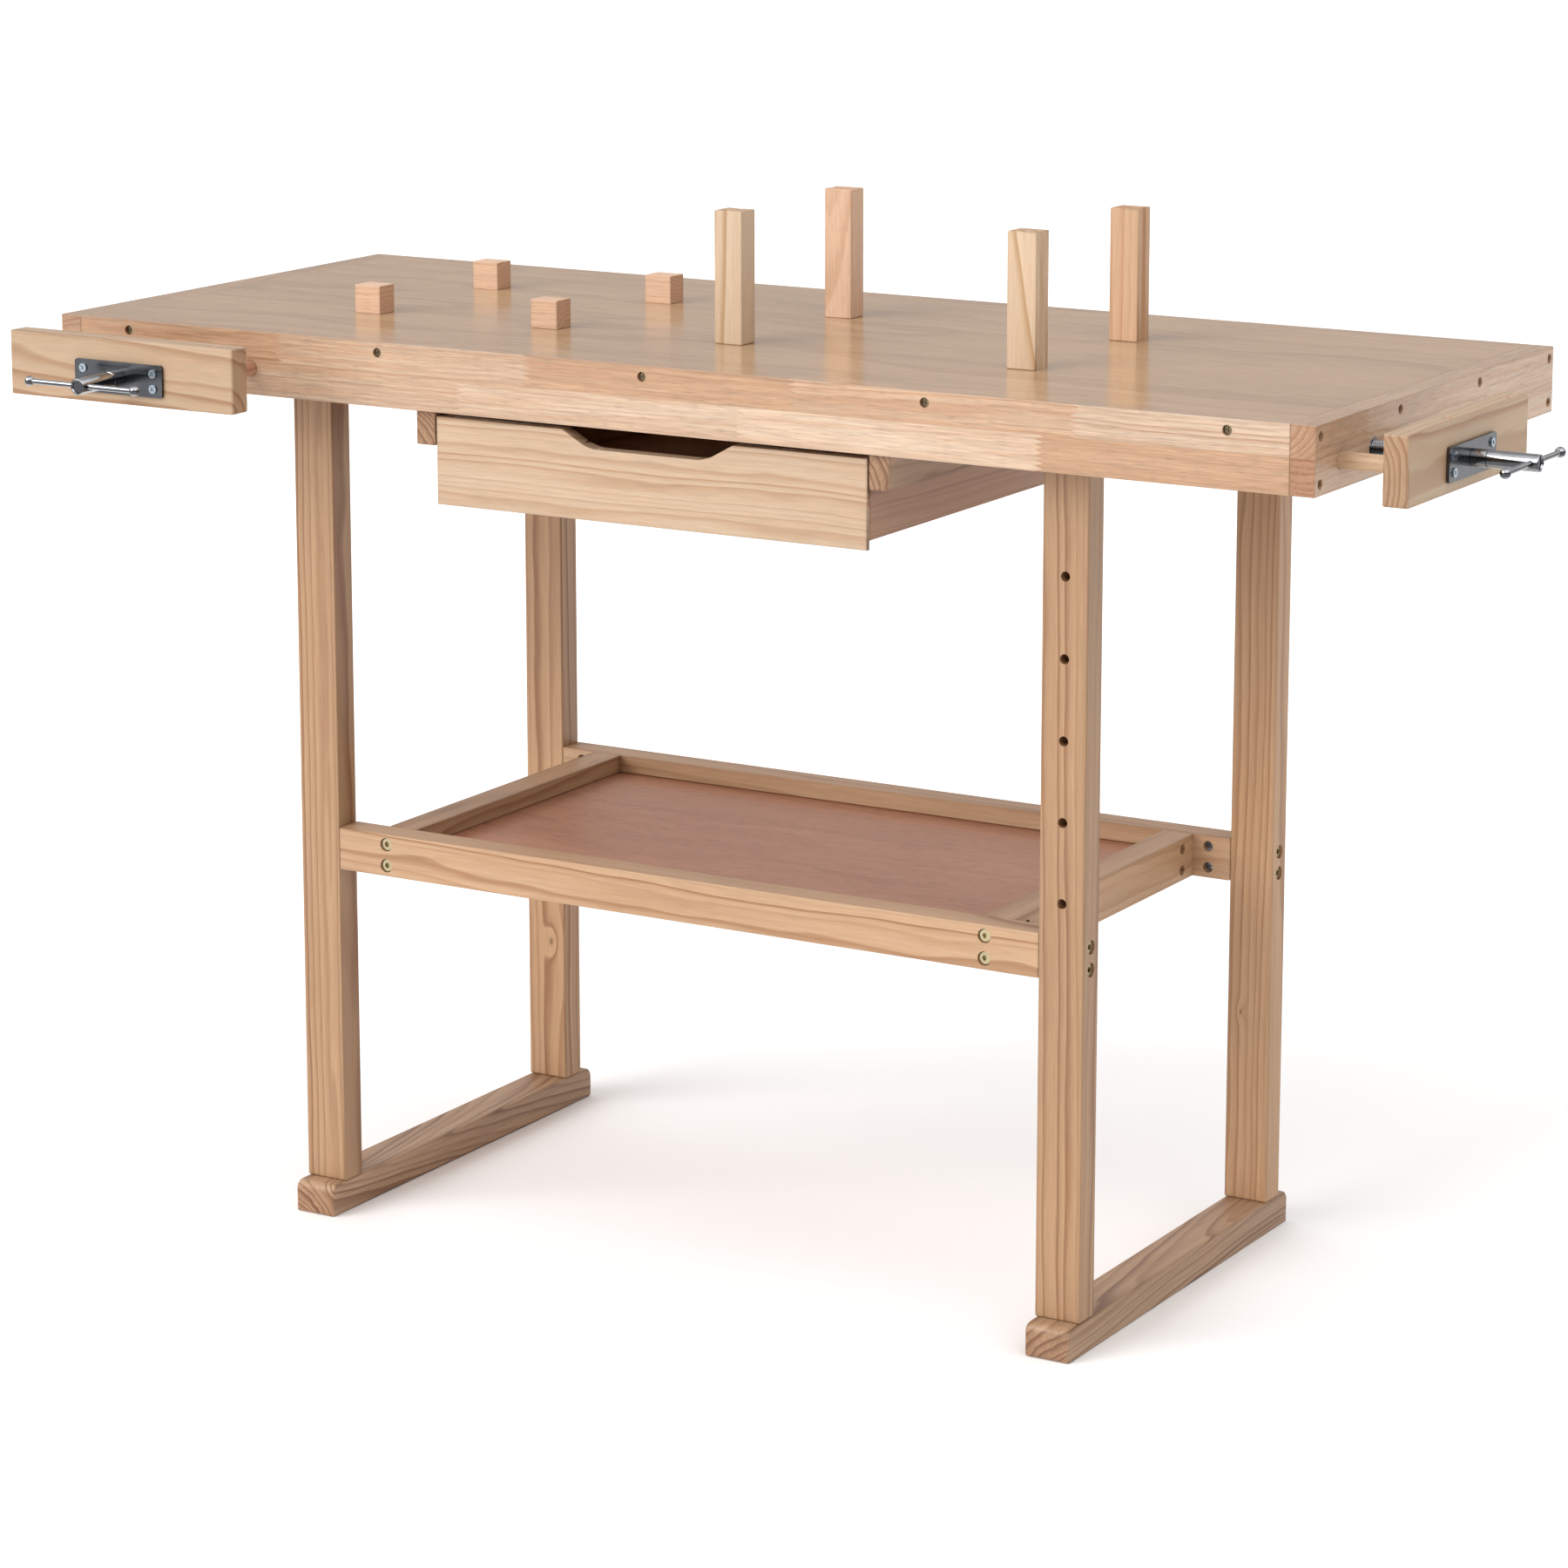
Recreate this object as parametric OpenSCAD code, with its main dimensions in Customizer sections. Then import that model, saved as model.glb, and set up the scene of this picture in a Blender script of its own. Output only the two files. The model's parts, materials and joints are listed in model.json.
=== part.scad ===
// Joiner's workbench: framed worktop on two trestle ends, with a front vise, an end vise,
// a shallow drawer, a lower shelf and eight lift-out bench dogs.
// Millimetres, +Z up. The origin is on the floor, at the middle of the box that holds the bench.
// The length runs along X, and the front faces -Y.

/* [Worktop] */
// Length of the worktop over both end caps
top_length = 1300; // [1080:10:1600]
// Depth of the worktop over both aprons
top_depth = 520; // [430:10:640]
// Height of the worktop above the floor
bench_height = 860; // [700:10:1040]
// Height of the aprons and end caps
edge_height = 60; // [52:1:75]
// Thickness of the front and back aprons
apron_thick = 20; // [16:1:26]
// Thickness of the end caps
cap_thick = 23; // [18:1:30]
// Thickness of the worktop panel
panel_thick = 20; // [16:1:22]
// Distance from a worktop end to the last apron screw
apron_screw_end = 80; // [50:5:120]
// Distance of the two middle cap screws from the bench's centre line
cap_screw_mid = 87; // [60:1:95]

/* [Legs and feet] */
// Distance from a worktop end to the outer face of the legs
leg_inset_x = 232; // [225:1:250]
// Distance from an apron's face to the outer face of the legs
leg_inset_y = 51; // [40:1:70]
// Width of a leg, along the bench
leg_width = 44; // [38:1:56]
// Depth of a leg and of the stretcher rails
leg_depth = 29; // [26:1:40]
// Height of a foot
foot_height = 31; // [26:1:45]
// How far a foot reaches beyond the legs
foot_overhang = 20; // [10:1:40]
// Radius of the upper corners of a foot
foot_round = 9; // [4:1:16]
// Number of peg holes in the right front leg
peg_count = 5; // [2:1:6]
// Diameter of the peg holes
peg_d = 9; // [6:0.5:12]
// Depth of the peg holes
peg_depth = 20; // [12:1:24]
// Lowest peg hole above the stretcher rails
peg_low = 29; // [22:1:60]
// Highest peg hole below the top of the leg
peg_high = 99; // [60:1:110]

/* [Lower shelf] */
// Height of the underside of the stretcher rails above the floor
rail_bottom = 341; // [200:1:360]
// Height of the stretcher rails and crosspieces
rail_height = 41; // [38:1:60]
// Width of a crosspiece
cross_width = 31; // [30:1:45]
// Distance from a leg's inner face to the middle of a crosspiece
cross_inset = 54; // [48:1:80]
// How far the shelf lies below the top of the rails
shelf_drop = 18; // [15:1:22]
// Thickness of the shelf panel
shelf_thick = 9; // [6:0.5:12]
// Depth of the grooves that hold the shelf
shelf_groove = 7; // [5:0.5:8]

/* [Drawer] */
// Width of the drawer
drawer_width = 450; // [300:5:540]
// Depth of the drawer, front to back
drawer_depth = 400; // [280:5:410]
// Height of the drawer front
drawer_height = 81; // [70:1:110]
// Gap between the worktop's lower edge and the drawer
drawer_gap = 5; // [3:0.5:8]
// How far the drawer front lies behind the apron's face
drawer_setback = 7; // [2:1:12]
// Thickness of the drawer front
front_thick = 15; // [12:1:18]
// Thickness of the drawer sides and back
side_thick = 12; // [11:1:14]
// Thickness of the drawer bottom
bottom_thick = 4; // [3:0.5:6]
// How far the drawer front reaches below the sides
front_lip = 8; // [4:1:12]
// Width of the finger pull at the top edge
pull_width = 178; // [100:2:220]
// Depth of the finger pull
pull_depth = 16; // [12:1:24]
// Width of a runner
runner_width = 20; // [16:1:24]
// Height of a runner
runner_height = 32; // [26:1:36]
// Height of the tongue on a runner
tongue_height = 7; // [5:0.5:9]
// How far the tongue stands out of the runner
tongue_reach = 6.5; // [5:0.5:7]

/* [Vises] */
// Length of a vise jaw
jaw_length = 256; // [220:2:300]
// Thickness of a vise jaw
jaw_thick = 23; // [20:1:30]
// Diameter of the spindle
spindle_d = 14; // [11.5:0.5:15]
// Distance of each guide rod from the spindle
rod_offset = 68; // [50:1:70]
// Diameter of the guide rods
rod_d = 15; // [12:0.5:15]
// Widest opening between a jaw and the bench
max_opening = 115; // [100:1:130]
// Opening of the front vise at rest
front_opening = 84; // [10:1:95]
// Opening of the end vise at rest
end_opening = 63; // [10:1:95]
// Middle of the front vise, from the left end of the worktop
front_vise_pos = 153; // [150:1:156]
// Middle of the end vise, from the front of the worktop
end_vise_pos = 119; // [110:1:150]
// Length of the spindle's head outside the plate
head_length = 60; // [45:1:75]
// Length of a handle bar between its ball ends
handle_length = 120; // [90:1:150]
// Diameter of the handle bars
handle_d = 5; // [4:0.5:6]
// Diameter of the ball ends
ball_d = 9.5; // [8:0.5:12]
// Length of the jaw plates
plate_length = 100; // [90:1:110]
// Height of the jaw plates
plate_height = 30; // [28:1:34]
// Thickness of the jaw plates
plate_thick = 3; // [2:0.5:4]

/* [Bench dogs] */
// Width of a dog's head along the bench
dog_width = 29; // [22:1:32]
// Depth of a dog's head across the bench
dog_depth = 24; // [20:1:28]
// Height of the short dogs above the worktop
short_height = 27; // [15:1:40]
// Height of the tall dogs above the worktop
tall_height = 122; // [80:1:150]
// Diameter of the dogs' shanks
shank_d = 18; // [14:0.5:19]
// Distance of each row of dogs from the bench's centre line
dog_row = 100; // [70:1:115]

/* [Fits] */
// Radial gap round moving round parts
run_gap = 0.3; // [0.3:0.05:0.5]
// Radial gap round fasteners
fix_gap = 0.05; // [0.03:0.01:0.1]
// Gap between the drawer and each runner
slide_gap = 2; // [1:0.25:3]
// Gap round a tongue or a panel in its groove
groove_gap = 0.5; // [0.2:0.1:0.8]

/* [Hidden] */
$fn = 48;
eps = 0.01;

// Colours
edge_wood = [0.86, 0.66, 0.47];
pine = [0.87, 0.73, 0.54];
beech = [0.85, 0.65, 0.49];
panel_wood = [0.72, 0.58, 0.43];
shelf_wood = [0.60, 0.38, 0.26];
chrome = [0.80, 0.81, 0.83];
zinc = [0.72, 0.70, 0.62];
dowel_wood = [0.74, 0.52, 0.34];

// Worktop
half_length = top_length / 2;
half_depth = top_depth / 2;
edge_bottom = bench_height - edge_height;
panel_bottom = bench_height - panel_thick;
panel_half_x = half_length - cap_thick;
panel_half_y = half_depth - apron_thick;
screw_level = bench_height - panel_thick / 2;
low_screw_level = edge_bottom + panel_thick / 2;

// Legs, feet and stretchers
leg_out = half_length - leg_inset_x;
leg_in = leg_out - leg_width;
leg_mid = (leg_out + leg_in) / 2;
leg_front = half_depth - leg_inset_y;
leg_back = leg_front - leg_depth;
leg_mid_y = (leg_front + leg_back) / 2;
leg_top = edge_bottom;
foot_half = leg_front + foot_overhang;
rail_top = rail_bottom + rail_height;
rail_mid = (rail_bottom + rail_top) / 2;
bolt_spread = rail_height / 4;
cross_mid = leg_in - cross_inset;
cross_in = cross_mid - cross_width / 2;
shelf_top = rail_top - shelf_drop;
shelf_bottom = shelf_top - shelf_thick;
peg_first = rail_top + peg_low;
peg_pitch = (leg_top - peg_high - peg_first) / (peg_count - 1);

// Drawer
drawer_top = edge_bottom - drawer_gap;
drawer_low = drawer_top - drawer_height;
side_low = drawer_low + front_lip;
drawer_half = drawer_width / 2;
drawer_inner = drawer_half - side_thick;
drawer_face = -half_depth + drawer_setback;
front_back = drawer_face + front_thick;
drawer_end = drawer_face + drawer_depth;
rabbet = front_thick * 0.6;
floor_rise = 8;
floor_low = side_low + floor_rise;
floor_groove = 5;
runner_low = edge_bottom - runner_height;
runner_end = half_depth - drawer_setback;
runner_screw_y = (runner_end + panel_half_y) / 2;
runner_in = drawer_half + slide_gap;
runner_out = runner_in + runner_width;
tongue_rise = 8;
tongue_low = runner_low + tongue_rise;
tongue_tip = runner_in - tongue_reach;

// Outline of the finger pull: straight sloping ends with rounded lower corners
pull_slope = 28;
pull_corner = 40;
pull_half = pull_width / 2;
pull_low_half = pull_half - pull_slope;
pull_angle = atan2(pull_depth, pull_slope);
pull_bend = pull_corner * tan(pull_angle / 2);
pull_points = [
  [-pull_half, 1], [-pull_half, 0],
  for (a = [0:6]) let (t = 270 - pull_angle + pull_angle * a / 6)
    [-pull_low_half + pull_bend + pull_corner * cos(t), -pull_depth + pull_corner + pull_corner * sin(t)],
  for (a = [0:6]) let (t = 270 + pull_angle * a / 6)
    [pull_low_half - pull_bend + pull_corner * cos(t), -pull_depth + pull_corner + pull_corner * sin(t)],
  [pull_half, 0], [pull_half, 1]
];

// Fasteners
screw_r = 2;
screw_head_r = 4;
screw_head = 3;
cross_length = 4.8;
cross_gap = 0.9;
cross_depth = 1.6;
screw_recess = 6;
screw_length = 45;
rail_screw_length = 48;
rail_screw_recess = 5;
rail_screw_y = 130;
bolt_r = 3;
bolt_head_r = 5.5;
bolt_head = 5;
bolt_recess = 7;
bolt_recess_r = 6.5;
socket_r = 2.9;
socket_depth = 3;
bolt_length = 70;
barrel_r = 5;
barrel_length = 14;
barrel_from_end = 23;
barrel_slot = [8, 1.2, 1.6];
foot_bolt_spread = 11;
foot_bolt_recess = 8;

// Vises
spindle_r = spindle_d / 2;
rod_r = rod_d / 2;
rod_socket = 16;
rod_engage = 15;
head_r = spindle_r + 0.5;
boss_r = spindle_r + 2.5;
boss_height = 4;
handle_from_end = 7;
ring_r = spindle_r + 4;
ring_thick = 3;
ring_pocket = 4;
nut_sleeve_r = spindle_r + 3;
nut_flange_r = spindle_r + 8;
nut_flange = 4;
nut_screw_circle = (nut_sleeve_r + nut_flange_r) / 2;
nut_screw_r = 1.5;
nut_screw_head_r = 2.4;
nut_screw_length = 13;
plate_corner = 3;
plate_screw_head = 1.5;
plate_screw_length = 17;
plate_screw_x = plate_length / 2 - 10;
plate_screw_z = plate_height / 2 - 8;
plug_r = 3.5;
plug_depth = 14;
plug_places = [-22, 102];
spindle_drop = panel_thick + nut_flange_r + 0.5;
spindle_level = bench_height - spindle_drop;
front_vise_x = -half_length + front_vise_pos;
end_vise_y = -half_depth + end_vise_pos;

// Bench dogs
shank_length = panel_thick - 1;
short_columns = [-400, -200];
tall_columns = [0, 300];
short_places = [for (x = short_columns) for (side = [-1, 1]) [x, side * dog_row]];
tall_places = [for (x = tall_columns) for (side = [-1, 1]) [x, side * dog_row]];
groove_turns = [180, -90, 90, 90];
dog_groove_r = 5;

// The bench stands with the middle of its whole box over the origin.
jaw_reach_x = end_opening + jaw_thick + plate_thick + head_length;
jaw_reach_y = front_opening + jaw_thick + plate_thick + head_length;
shift = [-jaw_reach_x / 2, jaw_reach_y / 2, 0];

// ---------- shared shapes ----------

// The whole bench, moved so that its box stands over the origin
module placed() {
  translate(shift) children();
}

// A board between two opposite corners
module board(low, high) {
  translate(low) cube(high - low);
}

// A hole or rod that starts at a point and runs along a direction: "x", "y" or "z", with a signed length
module run_x(at, r, len) {
  translate(at) rotate([0, len > 0 ? 90 : -90, 0]) cylinder(r = r, h = abs(len));
}
module run_y(at, r, len) {
  translate(at) rotate([len > 0 ? -90 : 90, 0, 0]) cylinder(r = r, h = abs(len));
}
module run_z(at, r, len) {
  translate(at) rotate([len > 0 ? 0 : 180, 0, 0]) cylinder(r = r, h = abs(len));
}

// The two crossed slots in a screw's head
module cross_slots(first_turn, deep) {
  for (turn = [0, 90])
    rotate([0, 0, first_turn + turn]) translate([-cross_length / 2, -cross_gap / 2, -eps])
      cube([cross_length, cross_gap, deep]);
}

// A wood screw that points along +Z, its head's face at the origin
module wood_screw(len) {
  difference() {
    union() {
      cylinder(r = screw_head_r, h = screw_head);
      cylinder(r = screw_r, h = len);
    }
    cross_slots(0, cross_depth);
  }
}

// The hole for that screw, with its recess behind the head
module screw_hole(len, recess) {
  translate([0, 0, -recess - eps]) cylinder(r = screw_head_r + 0.5, h = recess + screw_head + eps);
  cylinder(r = screw_r + fix_gap, h = len + 1);
}

// A socket bolt that points along +Z, its head's face at the origin
module socket_bolt(len) {
  difference() {
    union() {
      cylinder(r = bolt_head_r, h = bolt_head);
      cylinder(r = bolt_r, h = len);
    }
    translate([0, 0, -eps]) cylinder(r = socket_r, h = socket_depth, $fn = 6);
  }
}

// The hole for that bolt
module bolt_hole(len) {
  translate([0, 0, bolt_head - bolt_recess - 5]) cylinder(r = bolt_recess_r, h = bolt_recess + 5);
  cylinder(r = bolt_r + run_gap, h = len + 3);
}

// ---------- where the fasteners go ----------

module at_apron_screws() {
  pitch = (half_length - apron_screw_end) / 2;
  for (side = [-1, 1]) for (i = [-2:2])
    translate([i * pitch, side * (half_depth - screw_recess + screw_head), screw_level])
      rotate([side * 90, 0, 0]) children();
}

module at_cap_screws() {
  edge_y = half_depth - apron_thick / 2;
  spots = [
    [-edge_y, screw_level], [edge_y, screw_level], [-edge_y, low_screw_level], [edge_y, low_screw_level],
    [-cap_screw_mid, screw_level], [cap_screw_mid, screw_level]
  ];
  for (side = [-1, 1]) for (p = spots)
    translate([side * (half_length - screw_recess + screw_head), p[0], p[1]])
      rotate([0, -side * 90, 0]) children();
}

// Up through each top rail into the panel
module at_panel_screws() {
  for (side = [-1, 1]) for (end = [-1, 1])
    translate([side * leg_mid, end * rail_screw_y, edge_bottom + rail_screw_recess]) children();
}

// Down through each top rail into the legs
module at_leg_screws() {
  for (side = [-1, 1]) for (end = [-1, 1])
    translate([side * leg_mid, end * leg_mid_y, panel_bottom - rail_screw_recess])
      rotate([180, 0, 0]) children();
}

module at_foot_bolts() {
  for (side = [-1, 1]) for (end = [-1, 1]) for (i = [-1, 1])
    translate([side * leg_mid + i * foot_bolt_spread, end * leg_mid_y, foot_bolt_recess - bolt_head])
      children();
}

module at_rail_bolts() {
  for (side = [-1, 1]) for (end = [-1, 1]) for (i = [-1, 1])
    translate([side * (leg_out - bolt_recess + bolt_head), end * leg_mid_y, rail_mid + i * bolt_spread])
      rotate([0, -side * 90, 0]) children();
}

module at_crosspiece_bolts() {
  for (side = [-1, 1]) for (end = [-1, 1]) for (i = [-1, 1])
    translate([side * cross_mid, end * (leg_front - bolt_recess + bolt_head), rail_mid + i * bolt_spread])
      rotate([end * 90, 0, 0]) children();
}

// Barrel nuts of the rail bolts stand across the rails, those of the crosspiece bolts across the crosspieces
module at_rail_barrels() {
  for (side = [-1, 1]) for (end = [-1, 1]) for (i = [-1, 1])
    translate([side * (leg_in - barrel_from_end), end * leg_mid_y, rail_mid + i * bolt_spread])
      rotate([end * 90, 0, 0]) children();
}
module at_crosspiece_barrels() {
  for (side = [-1, 1]) for (end = [-1, 1]) for (i = [-1, 1])
    translate([side * cross_mid, end * (leg_back - barrel_from_end), rail_mid + i * bolt_spread])
      rotate([0, side * 90, 0]) children();
}

// Slot for a barrel nut: round, closed at one end and open along +Z
module barrel_pocket() {
  translate([0, 0, -barrel_length / 2]) cylinder(r = barrel_r + fix_gap, h = barrel_length / 2 + leg_depth);
}

module barrel_nut() {
  difference() {
    translate([0, 0, -barrel_length / 2]) cylinder(r = barrel_r, h = barrel_length);
    rotate([0, 90, 0]) translate([0, 0, -barrel_r - 1]) cylinder(r = bolt_r + fix_gap, h = 2 * barrel_r + 2);
    translate([-barrel_slot[0] / 2, -barrel_slot[1] / 2, barrel_length / 2 - barrel_slot[2]])
      cube(barrel_slot + [0, 0, 1]);
  }
}

module at_runner_screws() {
  for (side = [-1, 1]) for (end = [-1, 1])
    translate([side * (runner_in + runner_out) / 2, end * runner_screw_y, runner_low])
      translate([0, 0, screw_recess - screw_head]) children();
}

// ---------- where the vises go ----------

// Local frame: the spindle's axis lies along Y, the bench's face is at y = 0, and -Y points away from it.
module at_front_vise() {
  translate([front_vise_x, -half_depth, spindle_level]) children();
}
module at_end_vise() {
  translate([half_length, end_vise_y, spindle_level]) rotate([0, 0, 90]) children();
}

// What a vise needs cut out of the edge that it is fixed to
module vise_cuts(wall) {
  run_y([0, -1, 0], nut_sleeve_r + fix_gap, wall + 2);
  for (side = [-1, 1]) run_y([side * rod_offset, -1, 0], rod_r + run_gap, wall + 2);
  at_nut_screws(wall) translate([0, 0, -1]) cylinder(r = nut_screw_r + fix_gap, h = nut_screw_length + 2);
}

module at_nut_screws(wall) {
  for (turn = [0, 120, 240])
    rotate([0, turn + 30, 0]) translate([nut_screw_circle, wall + nut_flange, 0])
      rotate([90, 0, 0]) children();
}

// ---------- worktop ----------

module top_panel() {
  placed() color(panel_wood) difference() {
    board([-panel_half_x, -panel_half_y, panel_bottom], [panel_half_x, panel_half_y, bench_height]);
    for (p = concat(short_places, tall_places))
      run_z([p[0], p[1], panel_bottom - 1], shank_d / 2 + run_gap, panel_thick + 2);
    at_apron_screws() screw_hole(screw_length, screw_recess);
    at_cap_screws() screw_hole(screw_length, screw_recess);
    at_panel_screws() screw_hole(rail_screw_length, rail_screw_recess);
  }
}

module apron(side) {
  color(edge_wood) difference() {
    translate([-panel_half_x, side > 0 ? panel_half_y : -half_depth, edge_bottom])
      cube([2 * panel_half_x, apron_thick, edge_height]);
    at_apron_screws() screw_hole(screw_length, screw_recess);
    at_cap_screws() screw_hole(screw_length, screw_recess);
    at_runner_screws() screw_hole(screw_length, screw_recess);
    if (side < 0) at_front_vise() vise_cuts(apron_thick);
  }
}
module front_apron() { placed() apron(-1); }
module back_apron() { placed() apron(1); }

module end_cap(side) {
  color(edge_wood) difference() {
    translate([side > 0 ? panel_half_x : -half_length, -half_depth, edge_bottom])
      cube([cap_thick, top_depth, edge_height]);
    at_cap_screws() screw_hole(screw_length, screw_recess);
    if (side > 0) at_end_vise() vise_cuts(cap_thick);
  }
}
module left_end_cap() { placed() end_cap(-1); }
module right_end_cap() { placed() end_cap(1); }

module apron_screws() { placed() color(zinc) at_apron_screws() wood_screw(screw_length); }
module cap_screws() { placed() color(zinc) at_cap_screws() wood_screw(screw_length); }

module top_rail(side) {
  color(pine) difference() {
    translate([side * leg_mid - leg_width / 2, -panel_half_y, edge_bottom])
      cube([leg_width, 2 * panel_half_y, panel_bottom - edge_bottom]);
    at_panel_screws() screw_hole(rail_screw_length, rail_screw_recess);
    at_leg_screws() screw_hole(rail_screw_length, rail_screw_recess);
  }
}
module left_top_rail() { placed() top_rail(-1); }
module right_top_rail() { placed() top_rail(1); }
module top_rail_screws() {
  placed() color(zinc) {
    at_panel_screws() wood_screw(rail_screw_length);
    at_leg_screws() wood_screw(rail_screw_length);
  }
}

// ---------- legs, feet and stretchers ----------

module leg(side, end) {
  color(pine) difference() {
    translate([side * leg_mid - leg_width / 2, end * leg_mid_y - leg_depth / 2, foot_height])
      cube([leg_width, leg_depth, leg_top - foot_height]);
    at_leg_screws() screw_hole(rail_screw_length, rail_screw_recess);
    at_foot_bolts() bolt_hole(bolt_length);
    at_rail_bolts() bolt_hole(bolt_length);
    if (side > 0 && end < 0) for (i = [0:peg_count - 1])
      run_y([leg_mid, -leg_front - 1, peg_first + i * peg_pitch], peg_d / 2, peg_depth + 1);
  }
}
module front_left_leg() { placed() leg(-1, -1); }
module front_right_leg() { placed() leg(1, -1); }
module back_left_leg() { placed() leg(-1, 1); }
module back_right_leg() { placed() leg(1, 1); }

// A bar with its two upper corners rounded
module foot(side) {
  color(pine) difference() {
    translate([side * leg_mid - leg_width / 2, 0, 0]) rotate([90, 0, 90]) linear_extrude(leg_width) union() {
      translate([-foot_half, 0]) square([2 * foot_half, foot_height - foot_round]);
      translate([-foot_half + foot_round, 0]) square([2 * (foot_half - foot_round), foot_height]);
      for (end = [-1, 1])
        translate([end * (foot_half - foot_round), foot_height - foot_round]) circle(r = foot_round);
    }
    at_foot_bolts() bolt_hole(bolt_length);
  }
}
module left_foot() { placed() foot(-1); }
module right_foot() { placed() foot(1); }
module foot_bolts() { placed() color(zinc) at_foot_bolts() socket_bolt(bolt_length); }

module stretcher(end) {
  color(pine) difference() {
    translate([-leg_in, end * leg_mid_y - leg_depth / 2, rail_bottom])
      cube([2 * leg_in, leg_depth, rail_height]);
    at_rail_bolts() bolt_hole(bolt_length);
    at_crosspiece_bolts() bolt_hole(bolt_length);
    at_rail_barrels() barrel_pocket();
    shelf_slot();
  }
}
module front_rail() { placed() stretcher(-1); }
module back_rail() { placed() stretcher(1); }

module crosspiece(side) {
  color(pine) difference() {
    translate([side * cross_mid - cross_width / 2, -leg_back, rail_bottom])
      cube([cross_width, 2 * leg_back, rail_height]);
    at_crosspiece_bolts() bolt_hole(bolt_length);
    at_crosspiece_barrels() barrel_pocket();
    shelf_slot();
  }
}
module left_crosspiece() { placed() crosspiece(-1); }
module right_crosspiece() { placed() crosspiece(1); }

// The groove that runs round the inside of the rails and crosspieces
module shelf_slot() {
  reach = shelf_groove + groove_gap;
  board(
    [-cross_in - reach, -leg_back - reach, shelf_bottom - groove_gap / 2],
    [cross_in + reach, leg_back + reach, shelf_top + groove_gap / 2]
  );
}
module shelf_panel() {
  placed() color(shelf_wood) board(
    [-cross_in - shelf_groove, -leg_back - shelf_groove, shelf_bottom - groove_gap / 2],
    [cross_in + shelf_groove, leg_back + shelf_groove, shelf_top]
  );
}

module rail_bolts() { placed() color(zinc) at_rail_bolts() socket_bolt(bolt_length); }
module crosspiece_bolts() { placed() color(zinc) at_crosspiece_bolts() socket_bolt(bolt_length); }
module barrel_nuts() {
  placed() color(zinc) {
    at_rail_barrels() barrel_nut();
    at_crosspiece_barrels() rotate([0, 0, 90]) barrel_nut();
  }
}

// ---------- drawer ----------

module runner(side) {
  color(pine) difference() {
    mirror([side > 0 ? 0 : 1, 0, 0]) union() {
      board([runner_in, drawer_face, runner_low], [runner_out, runner_end, edge_bottom]);
      board(
        [tongue_tip, front_back + slide_gap, tongue_low],
        [runner_in + 1, runner_end, tongue_low + tongue_height]
      );
    }
    at_runner_screws() screw_hole(screw_length, screw_recess);
  }
}
module left_runner() { placed() runner(-1); }
module right_runner() { placed() runner(1); }
module runner_screws() { placed() color(zinc) at_runner_screws() wood_screw(screw_length); }

module drawer_front() {
  placed() color(pine) difference() {
    board([-drawer_half, drawer_face, drawer_low], [drawer_half, front_back, drawer_top]);
    for (side = [0, 1]) mirror([side, 0, 0])
      board(
        [drawer_inner, front_back - rabbet, drawer_low - 1],
        [drawer_half + 1, front_back + 1, drawer_top + 1]
      );
    translate([0, front_back + 1, drawer_top]) rotate([90, 0, 0]) linear_extrude(front_thick + 2)
      polygon(pull_points);
    board(
      [-drawer_inner - 1, front_back - floor_groove, floor_low - groove_gap / 2],
      [drawer_inner + 1, front_back + 1, floor_low + bottom_thick + groove_gap / 2]
    );
  }
}

module drawer_side(side) {
  color(pine) mirror([side > 0 ? 0 : 1, 0, 0]) difference() {
    board([drawer_inner, front_back - rabbet, side_low], [drawer_half, drawer_end, drawer_top]);
    board(
      [tongue_tip - groove_gap, front_back - rabbet - 1, tongue_low - groove_gap],
      [drawer_half + 1, drawer_end + 1, tongue_low + tongue_height + groove_gap]
    );
    board(
      [drawer_inner - 1, front_back - rabbet - 1, floor_low - groove_gap / 2],
      [drawer_inner + floor_groove, drawer_end + 1, floor_low + bottom_thick + groove_gap / 2]
    );
  }
}
module drawer_left_side() { placed() drawer_side(-1); }
module drawer_right_side() { placed() drawer_side(1); }

module drawer_back() {
  placed() color(pine) board(
    [-drawer_inner, drawer_end - side_thick, floor_low + bottom_thick],
    [drawer_inner, drawer_end, drawer_top]
  );
}

module drawer_bottom() {
  inset = floor_groove - groove_gap;
  placed() color(shelf_wood) board(
    [-drawer_inner - inset, front_back - inset, floor_low],
    [drawer_inner + inset, drawer_end, floor_low + bottom_thick]
  );
}

// ---------- vises ----------

module vise_nut(wall) {
  difference() {
    union() {
      run_y([0, 0, 0], nut_sleeve_r, wall + eps);
      run_y([0, wall, 0], nut_flange_r, nut_flange);
    }
    run_y([0, -1, 0], spindle_r + run_gap, wall + nut_flange + 2);
    at_nut_screws(wall) translate([0, 0, -1]) cylinder(r = nut_screw_r + fix_gap, h = nut_flange + 2);
  }
}
module vise_nuts() {
  placed() color(zinc) {
    at_front_vise() vise_nut(apron_thick);
    at_end_vise() vise_nut(cap_thick);
  }
}
module vise_nut_screws() {
  placed() color(zinc) {
    at_front_vise() at_nut_screws(apron_thick) nut_screw();
    at_end_vise() at_nut_screws(cap_thick) nut_screw();
  }
}
module nut_screw() {
  translate([0, 0, -nut_screw_r]) cylinder(r = nut_screw_head_r, h = nut_screw_r);
  cylinder(r = nut_screw_r, h = nut_screw_length);
}

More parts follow.
